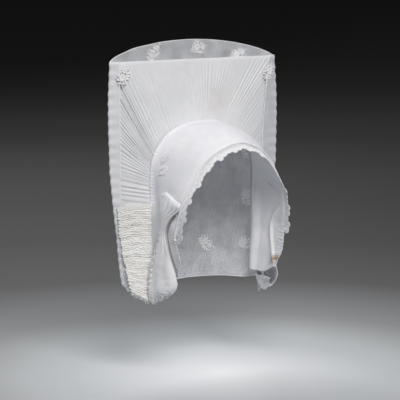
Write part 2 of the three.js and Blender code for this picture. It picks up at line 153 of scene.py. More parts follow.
# Columns: the rear edge's stand off the hood as a share of LOBE_STAND, its y of SEAM_DEPTH or FACE_DEPTH and
# its z of HOOD_DROP, the same three of the front edge, and the swell as a share of LAPPET_SWELL.
LAPPET_ROWS = (
    (0, 0.22, -0.39, 0, -0.62, -0.455, 0.1),
    (0.02, 0.36, -0.44, 0.02, -0.6, -0.49, 0.7),
    (0.05, 0.4, -0.52, 0.08, -0.26, -0.55, 0.8),
    (0.08, 0.34, -0.6, 0.08, -0.02, -0.61, 0.4),
    (0.15, 0.28, -0.67, 0.05, 0.1, -0.67, 0.2),
    (0.38, 0.38, -0.76, 0.04, 0.02, -0.76, 0.5),
    (0.65, 0.54, -0.86, 0.05, -0.14, -0.86, 0.9),
    (0.9, 0.6, -0.95, 0.15, -0.29, -0.94, 1),
    (1, 0.62, -1.03, 0.25, -0.37, -0.99, 1),
    (0.97, 0.6, -1.09, 0.32, -0.28, -1.03, 0.8),
    (0.8, 0.6, -1.135, 0.4, 0.1, -1.085, 0.3),
    (0.4, 0.66, -1.12, 0.28, 0.12, -1.075, 0),
    (0, 0.74, -1.03, 0, -0.12, -1.03, 0),
)
# The rows of the lappet between which its picots are sewn on.
TRIM_ROWS = (0.6, 9.5)

# How deep the pleats are. Columns: place on the panel's edge from top centre down, and a share of the depth.
PLEAT_DEPTHS = (
    (0, 0.6),
    (0.14, 0.5),
    (0.26, 0.8),
    (0.31, 1.8),
    (0.38, 1.6),
    (0.48, 1.0),
    (0.65, 0.7),
    (1, 0.55),
)

# The lace's small scallops stand in threes, the middle one longest, as shares of LACE_WIDTH, and shorten down
# the sides. Columns of the second: place from the crown to a foot, and a share of the length.
LACE_TIPS = (0.8, 1.28, 1.02)
LACE_REACH = ((0, 1.06), (0.3, 0.95), (0.44, 0.75), (0.54, 0.95), (0.6, 1.15), (1, 0.9))

# Where each embroidered sprig lies, with its turn in degrees and its size. On the veil the place is across
# from -1 to 1 and the share of the way down, on the panel and the hood along the edge and across.
VEIL_SPRIGS = ((-0.36, 0.036, 15, 1.1), (0.12, 0.032, -20, 1.0), (0.53, 0.045, 10, 1.0))
VEIL_SPRIG_ROWS = 4
PANEL_SPRIGS = ((-0.3, 0.84, 40, 1.05), (0.352, 0.92, -50, 1.0))
HOOD_SPRIGS = (
    (-0.335, 0.26, -60, 0.7),
    (-0.4, 0.3, 100, 0.7),
    (0.335, 0.26, 60, 0.7),
    (0.4, 0.3, 80, 0.7),
)

CAMERA_AZIMUTH = math.radians(-35)
CAMERA_ELEVATION = math.radians(8)
CAMERA_DISTANCE = 3.0
CAMERA_LENS = 168.75
PIXEL = 0.0016  # metres that a pixel of the photograph covers at the origin
IMAGE_SIZE = 400
ORIGIN_PIXEL = (222, 128)  # where the origin lies in it, from the top left
# The lights. Columns: name, place, what it is turned to, width, watts and colour.
LIGHTS = (
    ("key", (-0.9, -2.3, 2.3), (0, 0, -0.05), 1.5, 86, "#FFFDFA"),
    ("fill", (2.3, -1.9, 0.9), (0, 0, -0.1), 1.4, 12, "#F4F7FF"),
    ("side", (-2.6, 0.1, 0.9), (0, 0, -0.1), 1.2, 9, "#F4F7FF"),
    ("back", (0.9, 2.7, 1.9), (0, 0, -0.1), 1.8, 75, "#FFFFFF"),
)
# The floor, in metres.
FLOOR_DROP = 0.4  # how far below the origin it lies
FLOOR_FLAT = 3.6  # where it starts to curve up
FLOOR_CURVE = 1.4  # radius of that curve
FLOOR_RISE = 2.6  # height of the wall that it ends in
# The floor's colours, painted light that is pale below the coiffe and falls off to dark outwards: place in
# metres from the middle out and up, and its colour.
FLOOR_PAINTED_LIGHT = (
    (0.0, "#E4E6E8"),
    (0.24, "#B8BBBE"),
    (0.32, "#AEB1B3"),
    (0.48, "#838586"),
    (0.85, "#4A4A4B"),
    (1.35, "#353535"),
    (2.0, "#2C2C2C"),
    (2.9, "#2D2D2C"),
    (3.9, "#373736"),
    (4.15, "#2B2B2A"),
    (4.35, "#1E1E1D"),
    (4.6, "#121212"),
    (5.1, "#040404"),
    (9.0, "#030303"),
)
FLOOR_REACH = FLOOR_PAINTED_LIGHT[-1][0]


# Shapes
def smoothstep(value, low, high):
    t = np.clip((value - low) / (high - low), 0, 1)
    return t * t * (3 - 2 * t)


def hump(value, low, high):
    """A soft rise from nothing at low and back to nothing at high."""
    return np.sin(math.pi * np.clip((value - low) / (high - low), 0, 1)) ** 2


def look_up(rows, column, at):
    """A column of a table of rows at places along its first column."""
    table = np.array(sorted(rows, key=lambda row: row[0]))
    return np.interp(at, table[:, 0], table[:, column])


def swell(x, y, wave, seed, waves=7):
    """An uneven surface between about -1 and 1, whose waves are about as long as wave."""
    chance = np.random.RandomState(seed)
    total = 0
    for _ in range(waves):
        angle, stretch, phase = chance.uniform((0, 0.7, 0), (2 * math.pi, 1.5, 2 * math.pi))
        along = x * math.cos(angle) + y * math.sin(angle)
        total = total + np.cos(2 * math.pi * along / (wave * stretch) + phase)
    return total / math.sqrt(waves)


def unit(vectors):
    return vectors / np.maximum(np.linalg.norm(vectors, axis=-1, keepdims=True), 1e-9)


def normals_of(points, inside):
    """Normals of a grid of points, away from a point inside."""
    normals = unit(np.cross(np.gradient(points, axis=1), np.gradient(points, axis=0)))
    facing = np.sum(normals * (points - np.array(inside)))
    return normals * (1 if facing > 0 else -1)


def shares(rows, columns):
    """Two grids with the share down the rows and the share along the columns."""
    return np.meshgrid(np.linspace(0, 1, rows + 1), np.linspace(0, 1, columns + 1), indexing="ij")


class SmoothLine:
    """A smooth line through points."""

    def __init__(self, points, steps=40):
        p = np.array(points, float)
        p = np.vstack([2 * p[0] - p[1], p, 2 * p[-1] - p[-2]])
        t = np.linspace(0, 1, steps + 1)[1:, None]
        stretches = [p[1:2]]
        for a, b, c, d in zip(p, p[1:], p[2:], p[3:]):
            before, here, after = (max(np.linalg.norm(q), 1e-4) ** 0.5 for q in (b - a, c - b, d - c))
            leave = ((b - a) / before - (c - a) / (before + here) + (c - b) / here) * here
            arrive = ((c - b) / here - (d - b) / (here + after) + (d - c) / after) * here
            bend = 3 * (c - b) - 2 * leave - arrive
            twist = 2 * (b - c) + leave + arrive
            stretches.append(b + leave * t + bend * t**2 + twist * t**3)
        self.points = np.vstack(stretches)
        self.reach = np.append(0, np.cumsum(np.linalg.norm(np.diff(self.points, axis=0), axis=1)))
        self.length = self.reach[-1]

    def read(self, place, places):
        return np.stack([np.interp(place, places, self.points[:, k]) for k in range(3)], axis=-1)

    def at(self, share):
        """The point at a share of the line's length."""
        return self.read(np.clip(share, 0, 1) * self.length, self.reach)

    def by_row(self, share):
        """The point at a share of the way through the line's own points."""
        return self.read(share, np.linspace(0, 1, len(self.points)))


def over_crown(points_down):
    """One line over the crown, from the points down either side."""
    return SmoothLine(points_down(-1)[:0:-1] + points_down(1))


def seam_down(side, steps=6):
    points = []
    for angle in np.linspace(0, math.pi / 2, steps + 1):
        x = HOOD_HALF * math.sin(angle) ** (2 / ARCH_POWER)
        z = -SPRING_DROP + (SPRING_DROP + SEAM_RISE) * max(math.cos(angle), 0) ** (2 / ARCH_POWER)
        points.append((side * x, SEAM_DEPTH, z))
    return points + [(side * x * HOOD_HALF, SEAM_DEPTH, z * HOOD_DROP) for x, z in SEAM_FOOT_ROWS]


def face_down(side):
    points = []
    for x, y, z, pull in FACE_ROWS:
        y = y + (pull if side < 0 else 0)
        points.append((side * x * HOOD_HALF, y * FACE_DEPTH, z * HOOD_DROP))
    return points


SEAM = over_crown(seam_down)
FACE = over_crown(face_down)


def hood_point(u, v):
    """The hood. u runs from the right foot at -1 over the crown to 1, v from rear seam to face edge."""
    seam = SEAM.at((1 + u) / 2)
    face = FACE.at((1 + u) / 2)
    down = np.abs(u)
    side = SIDE_BULGE * (1 - smoothstep(down, *FOOT_SPAN))
    bulge = CROWN_BULGE + (side - CROWN_BULGE) * smoothstep(down, *CROWN_SPAN)
    out = np.stack([seam[..., 0], 0 * down, np.maximum(seam[..., 2] + SPRING_DROP, 0)], axis=-1)
    rise = 4 * bulge * np.maximum(v, 0) * (1 - v)
    return seam + (face - seam) * v[..., None] + unit(out) * rise[..., None]


def hood_depth(u):
    return np.linalg.norm(SEAM.at((1 + u) / 2) - FACE.at((1 + u) / 2), axis=-1)


def lace_end():
    """Where the lace ends, as a share of the way down the face edge."""
    down = np.linspace(0, 1, 500)
    return down[np.searchsorted(-FACE.at((1 + down) / 2)[:, 2], LACE_DROP)]


def fan_seam_y():
    return SEAM_DEPTH + SEAM_GAP + PANEL_SET


def fan_side_y(x):
    return fan_seam_y() + FAN_TILT / (FAN_HALF - HOOD_HALF) * (np.abs(x) - HOOD_HALF)


def fan_edge(share, side):
    """The panel's squared edge, from top centre round the corner to its lower end."""
    side_length = FAN_TOP + FAN_BOTTOM
    along = share * (FAN_HALF + side_length)
    down = along - FAN_HALF
    z = FAN_TOP - np.maximum(down, 0)
    drawn = np.where(side > 0, FAN_DRAW_IN * np.sin(math.pi * np.clip(down / side_length, 0, 1)), 0)
    half = FAN_HALF + (FAN_FOOT_HALF - FAN_HALF) * smoothstep(-z, FAN_NARROWING, FAN_BOTTOM) - drawn
    x = np.where(down <= 0, along, half)
    y = np.where(down <= 0, fan_seam_y() + FAN_TILT, fan_side_y(x))
    return np.stack([x * side, y, z], axis=-1)


def fan_point(u, w):
    """The panel. u runs along its edge from the lower right end to the lower left, w from seam to edge."""
    side = np.where(u < 0, -1, 1)
    share = np.abs(u)
    start = np.where(u < 0, look_up(PLEAT_ROWS, 1, share), look_up(PLEAT_ROWS, 2, share))
    start = SEAM.at((1 + side * start) / 2)
    start[..., 1] = fan_seam_y()
    return start + (fan_edge(share, side) - start) * w[..., None]


def veil_point(across, down):
    """The veil. across runs from -1 to 1 between the ends of its turned strips, down from top to hem."""
    side = np.where(across < 0, -1, 1)
    a = np.abs(across)
    z = FAN_TOP - (FAN_TOP + VEIL_FALL) * down
    height = z / np.where(z > 0, FAN_TOP, VEIL_FALL)
    billow = np.where(side > 0, VEIL_BILLOW * np.cos(math.pi / 2 * height), 0)
    half = VEIL_HALF * look_up(VEIL_ROWS, 1, height) + billow
    bulge = VEIL_BULGE * look_up(VEIL_ROWS, 2, height)
    edge_x = half - VEIL_TURN
    t = np.clip(a / VEIL_BACK, 0, 1)
    edge_y = fan_side_y(edge_x - billow * (1 - t * t))
    lift = VEIL_ARCH * (1 - t * t) ** ARCH_FULLNESS * (1 - down) ** 2 + NAPE_RISE * (1 - t * t) * down**2
    slack = swell(across * 190, down * (FAN_TOP + VEIL_FALL), wave=60, seed=21)
    slack = VEIL_SLACK * slack * (1 - smoothstep(a, 0.7, VEIL_BACK))
    back_y = edge_y + VEIL_TURN + bulge * (1 - t * t) ** BACK_FULLNESS + slack
    back = np.stack([edge_x * t, back_y, z + lift], axis=-1)
    angle = math.pi * np.clip((a - VEIL_BACK) / (VEIL_ROUND - VEIL_BACK), 0, 1)
    turn = np.stack([edge_x + VEIL_TURN * np.sin(angle), edge_y + VEIL_TURN * np.cos(angle), z], axis=-1)
    along = FAN_HALF + FAN_TOP - np.maximum(z, -FAN_BOTTOM)
    hem_x = np.abs(fan_edge(along / (FAN_HALF + FAN_TOP + FAN_BOTTOM), side)[..., 0]) - VEIL_OVERLAP
    in_x = edge_x + (hem_x - edge_x) * np.clip((a - VEIL_ROUND) / (1 - VEIL_ROUND), 0, 1)
    strip = np.stack([in_x, fan_side_y(in_x) - VEIL_TURN, z], axis=-1)
    a = a[..., None]
    points = np.where(a <= VEIL_BACK, back, np.where(a <= VEIL_ROUND, turn, strip))
    points[..., 0] *= side
    return points


def band_point(side, drop, across):
    """A crimped band. drop runs from its top edge down, across from its outer border inwards."""
    outer = FAN_HALF * look_up(BAND_ROWS, 1, drop)
    inner = HOOD_HALF + HOOD_WALL + SEWN_GAP + BAND_WIDTH * look_up(BAND_ROWS, 2, drop)
    x = outer + (inner - outer) * across
    droop = BAND_CORNER * (1 - smoothstep(across, 0, 0.4)) * (1 - drop)
    z = -BAND_TOP - droop - BAND_LENGTH * drop - BAND_SLANT * across * drop**3
    y = fan_side_y(x) - BAND_STACK - BAND_FORWARD * look_up(BAND_ROWS, 3, drop)
    return np.stack([side * x, y, z], axis=-1)


def hood_side_x(side, y, z):
    """How far out the hood lies on one side, at a depth and a height."""
    height = max(z, -HOOD_DROP)
    u, v = np.array(0.7), np.array(0.5)
    for _ in range(16):
        point = hood_point(side * u, v)
        u = np.minimum(u + 2 * (point[2] - height) / SEAM.length, 1)
        v = np.clip(v + (point[1] - y) / hood_depth(side * u), 0, 1)
    return abs(hood_point(side * u, v)[0])


def lappet_edge(side, first):
    """One edge of a lappet, read from its rows: the rear one with first as 0, the front one with 3."""
    points = []
    for row in LAPPET_ROWS:
        stand, y, z = row[first:first + 3]
        y *= SEAM_DEPTH if y > 0 else FACE_DEPTH
        x = hood_side_x(side, y, z * HOOD_DROP) + LAPPET_SEAT + stand * LOBE_STAND
        points.append((side * x, y, z * HOOD_DROP))
    return SmoothLine(points)


class Lappet:
    """A lappet. s runs from its gathered top edge down round the lobe, t from rear to front edge."""

    def __init__(self, side):
        self.side = side
        self.rear = lappet_edge(side, 0)
        self.front = lappet_edge(side, 3)

    def at(self, s, t):
        rear = self.rear.by_row(s)
        front = self.front.by_row(s)
        places = np.linspace(0, 1, len(LAPPET_ROWS))
        full = np.interp(s, places, [row[6] for row in LAPPET_ROWS])
        points = rear + (front - rear) * t[..., None]
        points[..., 0] += self.side * LAPPET_SWELL * full * np.sin(math.pi * t)
        return points


# Meshes
def lengths_along(points, axis):
    """Length along a grid of points from its middle, down or across."""
    steps = np.linalg.norm(np.diff(points, axis=axis), axis=-1)
    pad = [(0, 0), (0, 0)]
    pad[axis] = (1, 0)
    reach = np.cumsum(np.pad(steps, pad), axis=axis)
    return reach - np.take(reach, [points.shape[axis] // 2], axis=axis)


def grid_mesh(name, points, inside, values=None):
    """A mesh of a grid of points, with a UV map in metres of cloth and a number for each point by name."""
    rows, columns = points.shape[:2]
    corner = np.arange(rows * columns).reshape(rows, columns)
    faces = np.stack([corner[:-1, :-1], corner[:-1, 1:], corner[1:, 1:], corner[1:, :-1]], axis=-1)
    faces = faces.reshape(-1, 4)
    sides = np.cross(np.gradient(points, axis=1), np.gradient(points, axis=0))
    if np.sum(sides * (points - np.array(inside))) < 0:
        faces = faces[:, ::-1]
    mesh = bpy.data.meshes.new(name)
    mesh.from_pydata(points.reshape(-1, 3) / METRE, [], faces)
    mesh.shade_smooth()
    uv = np.stack([lengths_along(points, 1), lengths_along(points, 0)], axis=-1).reshape(-1, 2) / METRE
    layer = mesh.uv_layers.new(name="cloth")
    layer.data.foreach_set("uv", uv[faces.ravel()].astype(np.float32).ravel())
    for key, value in (values or {}).items():
        attribute = mesh.attributes.new(key, "FLOAT", "POINT")
        each = np.broadcast_to(value, (rows, columns)).astype(np.float32)
        attribute.data.foreach_set("value", each.ravel())
    piece = bpy.data.objects.new(name, mesh)
    bpy.context.scene.collection.objects.link(piece)
    return piece


def hand_over(piece, slot, *nodes):
    """Turns a piece with its modifiers into a plain mesh, and says where it belongs."""
    evaluated = piece.evaluated_get(bpy.context.evaluated_depsgraph_get())
    mesh = bpy.data.meshes.new_from_object(evaluated)
    piece.modifiers.clear()
    piece.data = mesh
    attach(piece, "root")
    if nodes:
        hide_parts(*nodes)


def finish_cloth(piece, wall, slot, node):
    """Gives cloth its thickness, and its material where no tree has set one."""
    if not piece.modifiers:
        piece.data.materials.append(material_for(slot))
    solidify = piece.modifiers.new("wall", "SOLIDIFY")
    solidify.thickness = wall
    solidify.offset = 0
    solidify.use_even_offset = False
    hand_over(piece, slot, node)


class Threads:
    """Fine threads and padded stitches gathered into one mesh, in millimetres."""

    def __init__(self):
        self.points = []
        self.faces = []

    def ring(self, centre, across, up, radius, sides):
        first = len(self.points)
        for k in range(sides):
            angle = 2 * math.pi * k / sides
            self.points.append(centre + radius * (math.cos(angle) * across + math.sin(angle) * up))
        return list(range(first, first + sides))

    def join(self, one, two):
        for k in range(len(one)):
            after = (k + 1) % len(one)
            self.faces.append((one[k], one[after], two[after], two[k]))

    def run(self, path, radius, closed=False, sides=4):
        """A thread along a path that lies about flat."""
        path = np.array([(*p, 0) if len(p) == 2 else p for p in path], float)
        up = np.array((0.0, 0.0, 1.0))
        rings = []
        for k, point in enumerate(path):
            before = path[k - 1] if closed or k else path[k]
            after = path[(k + 1) % len(path)] if closed or k < len(path) - 1 else path[k]
            across = unit(np.cross(unit(after - before), up))
            rings.append(self.ring(point, across, up, radius, sides))
        for one, two in zip(rings, rings[1:]):
            self.join(one, two)
        if closed:
            self.join(rings[-1], rings[0])
        else:
            self.faces += [tuple(rings[0][::-1]), tuple(rings[-1])]

    def pad(self, centre, turn, length, width, height, sides=8):
        """A padded satin stitch: an oval cushion that lies at a turn in its plane and rises on both faces."""
        along = np.array((math.cos(turn), math.sin(turn), 0)) * length / 2
        across = np.array((-math.sin(turn), math.cos(turn), 0)) * width / 2
        up = np.array((0, 0, height))
        centre = np.array((*centre, 0))
        rings = []
        for share, rise in ((0.75, -0.7), (1, 0), (0.75, 0.7)):
            rings.append(self.ring(centre + rise * up, share * along, share * across, 1, sides))
        for one, two in zip(rings, rings[1:]):
            self.join(one, two)
        for ring, tip in ((rings[0][::-1], centre - up), (rings[-1], centre + up)):
            self.points.append(tip)
            self.faces += [(ring[k], ring[(k + 1) % sides], len(self.points) - 1) for k in range(sides)]

    def plate(self, outer, inner, low, high):
        """Close clothwork between an outer line and the rim of a hole, with as many points in each."""
        rings = []
        for line, height in ((outer, high), (inner, high), (inner, low), (outer, low)):
            first = len(self.points)
            self.points += [np.array((*point, height), float) for point in line]
            rings.append(list(range(first, first + len(line))))
        for one, two in zip(rings, rings[1:] + rings[:1]):
            self.join(two, one)

    def shape(self, name):
        mesh = bpy.data.meshes.new(name)
        mesh.from_pydata(np.array(self.points) / METRE, [], self.faces)
        mesh.shade_smooth()
        return bpy.data.objects.new(name, mesh)


def circle(centre, radius, steps=8):
    angles = np.linspace(0, 2 * math.pi, steps, endpoint=False)
    return [(centre[0] + radius * math.cos(a), centre[1] + radius * math.sin(a)) for a in angles]


# Node trees
MATH = "ShaderNodeMath"
VECTORS = "ShaderNodeVectorMath"
NOISE = "ShaderNodeTexNoise"
MIX = "ShaderNodeMix"
RANGE = "ShaderNodeMapRange"
SHADER = "ShaderNodeBsdfPrincipled"
NAMED = "GeometryNodeInputNamedAttribute"
TURN = "FunctionNodeAlignRotationToVector"

TREES = {}


def add(tree, kind, links=None, **settings):
    """Adds a node with its settings, its values and its links. A node given as a link means its output."""
    node = tree.nodes.new(kind)
    for key, value in settings.items():
        setattr(node, key, value)
    for key, value in (links or {}).items():
        if isinstance(value, bpy.types.Node):
            value = next(output for output in value.outputs if output.enabled)
        if isinstance(value, bpy.types.NodeSocket):
            tree.links.new(value, node.inputs[key])
        else:
            node.inputs[key].default_value = value
    return node


def new_tree(name, inputs):
    tree = bpy.data.node_groups.new(name, "GeometryNodeTree")
    tree.interface.new_socket("Geometry", in_out="INPUT", socket_type="NodeSocketGeometry")
    for key, kind in inputs:
        tree.interface.new_socket(key, in_out="INPUT", socket_type="NodeSocket" + kind)
    tree.interface.new_socket("Geometry", in_out="OUTPUT", socket_type="NodeSocketGeometry")
    return tree, add(tree, "NodeGroupInput").outputs


def end_tree(tree, geometry, material):
    real = add(tree, "GeometryNodeRealizeInstances", {"Geometry": geometry})
    painted = add(tree, "GeometryNodeSetMaterial", {"Geometry": real, "Material": material})
    add(tree, "NodeGroupOutput", {"Geometry": painted})
    return tree


def folds_tree():
    """Presses folds into a sheet: a wave along the number each point holds, as deep as its fullness."""
    inputs = (("Folds", "Float"), ("Depth", "Float"), ("Knife", "Float"), ("Material", "Material"))
    tree, given = new_tree("pressed_folds", inputs)
    along = add(tree, NAMED, {"Name": "along"})
    fullness = add(tree, NAMED, {"Name": "fullness"})
    turns = add(tree, MATH, {0: along, 1: given["Folds"]}, operation="MULTIPLY")
    phase = add(tree, MATH, {0: turns, 1: 2 * math.pi}, operation="MULTIPLY")
    twice = add(tree, MATH, {0: phase, 1: 2.0}, operation="MULTIPLY")
    wave = add(tree, MATH, {0: phase}, operation="SINE")
    edge = add(tree, MATH, {0: twice}, operation="SINE")
    press = add(tree, MATH, {0: edge, 1: given["Knife"], 2: wave}, operation="MULTIPLY_ADD")
    height = add(tree, MATH, {0: press, 1: fullness}, operation="MULTIPLY")
    deep = add(tree, MATH, {0: height, 1: given["Depth"]}, operation="MULTIPLY")
    normal = add(tree, "GeometryNodeInputNormal")
    offset = add(tree, VECTORS, {0: normal, "Scale": deep}, operation="SCALE")
    moved = add(tree, "GeometryNodeSetPosition", {"Geometry": given["Geometry"], "Offset": offset})
    return end_tree(tree, moved, given["Material"])


def motif_tree():
    """Sews one motif on at every point, its x along the point's run and its z away from the cloth."""
    inputs = (("Motif", "Object"), ("Scale", "Float"), ("Material", "Material"))
    tree, given = new_tree("sewn_motifs", inputs)
    motif = add(tree, "GeometryNodeObjectInfo", {"Object": given["Motif"], "As Instance": True})
    up = add(tree, NAMED, {"Name": "up"}, data_type="FLOAT_VECTOR")
    run = add(tree, NAMED, {"Name": "run"}, data_type="FLOAT_VECTOR")
    size = add(tree, NAMED, {"Name": "size"}, data_type="FLOAT_VECTOR")
    upright = add(tree, TURN, {"Vector": up}, axis="Z")
    facing = add(tree, TURN, {"Rotation": upright, "Vector": run}, axis="X", pivot_axis="Z")
    scale = add(tree, VECTORS, {0: size, "Scale": given["Scale"]}, operation="SCALE")
    sewn = add(tree, "GeometryNodeInstanceOnPoints", {
        "Points": given["Geometry"],
        "Instance": motif.outputs["Geometry"],
        "Rotation": facing,
        "Scale": scale,
    })
    return end_tree(tree, sewn, given["Material"])


def cord_tree():
    """Rolls a round cord along a line."""
    tree, given = new_tree("rolled_cord", (("Radius", "Float"), ("Sides", "Int"), ("Material", "Material")))
    line = add(tree, "GeometryNodeMeshToCurve", {"Mesh": given["Geometry"]})
    ring = {"Radius": given["Radius"], "Resolution": given["Sides"]}
    rim = add(tree, "GeometryNodeCurvePrimitiveCircle", ring)
    cord = add(tree, "GeometryNodeCurveToMesh", {"Curve": line, "Profile Curve": rim, "Fill Caps": True})
    smooth = add(tree, "GeometryNodeSetShadeSmooth", {"Geometry": cord})
    return end_tree(tree, smooth, given["Material"])


def run_tree(piece, make, **values):
    """Puts a tree on a piece with its named inputs set, and makes the tree the first time."""
    if make not in TREES:
        TREES[make] = make()
    tree = TREES[make]
    modifier = piece.modifiers.new(tree.name, "NODES")
    modifier.node_group = tree
    for socket in tree.interface.items_tree:
        if socket.in_out == "INPUT" and socket.name in values:
            modifier[socket.identifier] = values[socket.name]


def point_piece(name, points, run=None, up=None, size=None, line=False):
    """Points to sew motifs on, or a line of them to roll a cord along."""
    edges = [(k, k + 1) for k in range(len(points) - 1)] if line else []
    mesh = bpy.data.meshes.new(name)
    mesh.from_pydata(np.array(points) / METRE, edges, [])
    for key, value in (("run", run), ("up", up), ("size", size)):
        if value is not None:
            attribute = mesh.attributes.new(key, "FLOAT_VECTOR", "POINT")
            each = np.broadcast_to(value, (len(points), 3)).astype(np.float32)
            attribute.data.foreach_set("vector", each.ravel())
    piece = bpy.data.objects.new(name, mesh)
    bpy.context.scene.collection.objects.link(piece)
    return piece


def sew(name, motif, points, run, up, size, slot, *nodes):
    piece = point_piece(name, points, run, up, size)
    run_tree(piece, motif_tree, Motif=motif, Scale=1.0, Material=material_for(slot))
    hand_over(piece, slot, *nodes)


def roll(name, points, radius, sides, slot, *nodes):
    piece = point_piece(name, points, line=True)
    run_tree(piece, cord_tree, Radius=radius, Sides=sides, Material=material_for(slot))
    hand_over(piece, slot, *nodes)


# Materials
SOFT = {"Detail": 3.0, "Roughness": 0.55}


def linear(hex_colour):
    """Linear colour of an sRGB hex value such as "#F2F3F7"."""
    parts = [int(hex_colour[k:k + 2], 16) / 255 for k in (1, 3, 5)]
    return (*[p / 12.92 if p <= 0.04045 else ((p + 0.055) / 1.055) ** 2.4 for p in parts], 1.0)


def new_material(name):
    material = bpy.data.materials.new(name)
    material.use_nodes = True
    material.node_tree.nodes.clear()
    return material, material.node_tree


def end_material(tree, sockets):
    shader = add(tree, SHADER, sockets)
    add(tree, "ShaderNodeOutputMaterial", {"Surface": shader})


def wave_of(tree, place, pitch, turn=0.0):
    """A wave between -1 and 1 across the cloth, repeating at a pitch in metres."""
    across = (math.cos(turn) * 2 * math.pi / pitch, math.sin(turn) * 2 * math.pi / pitch, 0)
    phase = add(tree, VECTORS, {0: place, 1: across}, operation="DOT_PRODUCT")
    return add(tree, MATH, {0: phase}, operation="COSINE")


def woven_material(name, colour, shade, thread, roughness, sheen):
    """Plain-woven cotton: threads over and under, slubs, a faint uneven tone from starch, and a tan tint for
    real stains and for painted shade in folds.
    """
    material, tree = new_material(name)
    coordinates = add(tree, "ShaderNodeTexCoord")
    cloth = coordinates.outputs["UV"]
    place = coordinates.outputs["Object"]
    warp = wave_of(tree, cloth, thread)
    weft = wave_of(tree, cloth, thread, math.pi / 2)
    weave = add(tree, MATH, {0: warp, 1: weft}, operation="MULTIPLY")
    drawn_out = add(tree, "ShaderNodeMapping", {"Vector": cloth, "Scale": (90, 900, 1)})
    slubs = add(tree, NOISE, {"Vector": drawn_out, "Scale": 1.0, **SOFT})
    height = add(tree, MATH, {0: weave, 1: 0.5, 2: slubs}, operation="MULTIPLY_ADD")
    bump = add(tree, "ShaderNodeBump", {"Height": height, "Strength": 0.5, "Distance": 0.0002})
    broad = add(tree, NOISE, {"Vector": place, "Scale": 16.0, **SOFT})
    small = add(tree, NOISE, {"Vector": place, "Scale": 70.0, **SOFT})
    starch = add(tree, MATH, {0: broad, 1: small}, operation="MULTIPLY")
    starch = add(tree, RANGE, {0: starch, 1: 0.18, 2: 0.42})
    clean = add(tree, MIX, {0: starch, 6: shade, 7: colour}, data_type="RGBA")
    specks = add(tree, NOISE, {"Vector": place, "Scale": 140.0, **SOFT})
    specks = add(tree, MATH, {0: specks, 1: 0.4}, operation="ADD")
    # The tan tint from the mesh: real stains, and painted shade in folds.
    tan_and_painted_shade = add(tree, "ShaderNodeAttribute", attribute_name="tan_and_painted_shade").outputs["Fac"]
    tan_and_painted_shade = add(tree, MATH, {0: tan_and_painted_shade, 1: specks}, operation="MULTIPLY")
    stained_and_shaded = add(tree, MIX, {0: tan_and_painted_shade, 6: clean, 7: linear("#A98358")}, data_type="RGBA")
    end_material(tree, {
        "Base Color": stained_and_shaded,
        "Normal": bump,
        "Roughness": roughness,
        "Sheen Weight": sheen,
        "IOR": 1.5,
    })
    return material


def starched_lawn():
    # Cotton lawn that is starched and ironed: smooth, dull white with a breath of blue, tan where it is
    # stained, and tan as painted shade in the folds beside the lappets.
    # Its threads stand about 0.3 mm apart and are drawn 0.9 mm apart so that they show.
    colours = bpy.context.scene.coiffe_colours
    return woven_material("starched cotton lawn", colours.lawn, colours.lawn_shade, 0.0009, 0.75, 0.1)


def pleated_lawn():
    # The same lawn pressed in fine pleats, a little softer and a shade greyer: partly because it is thinner
    # and single, and partly as painted shade for the upright panel, which takes less light than the hood.
    colours = bpy.context.scene.coiffe_colours
    return woven_material("pleated cotton lawn", colours.pleats, colours.pleats_shade, 0.0009, 0.8, 0.1)


def crimped_cotton():
    # Unbleached cotton set in fine crimps with starch: cream and matt, with broken light on every crimp.
    colours = bpy.context.scene.coiffe_colours
    return woven_material("crimped unbleached cotton", colours.cream, colours.cream_shade, 0.0011, 0.85, 0.15)


def embroidery_cotton():
    # Twisted mercerised cotton: the brightest white here, with a soft sheen along its twist. A turn of the
    # twist is about 0.5 mm long and is drawn 0.8 mm long so that it shows.
    colours = bpy.context.scene.coiffe_colours
    material, tree = new_material("mercerised cotton thread")
    place = add(tree, "ShaderNodeTexCoord").outputs["Object"]
    twist = wave_of(tree, place, 0.0008, math.pi / 4)
    fibres = add(tree, NOISE, {"Vector": place, "Scale": 900.0, **SOFT})
    height = add(tree, MATH, {0: twist, 1: 0.5, 2: fibres}, operation="MULTIPLY_ADD")
    bump = add(tree, "ShaderNodeBump", {"Height": height, "Strength": 0.4, "Distance": 0.0002})
    broad = add(tree, NOISE, {"Vector": place, "Scale": 120.0, **SOFT})
    tone = add(tree, MIX, {0: broad, 6: colours.thread_shade, 7: colours.thread}, data_type="RGBA")
    end_material(tree, {"Base Color": tone, "Normal": bump, "Roughness": 0.6, "Sheen Weight": 0.2})
    return material


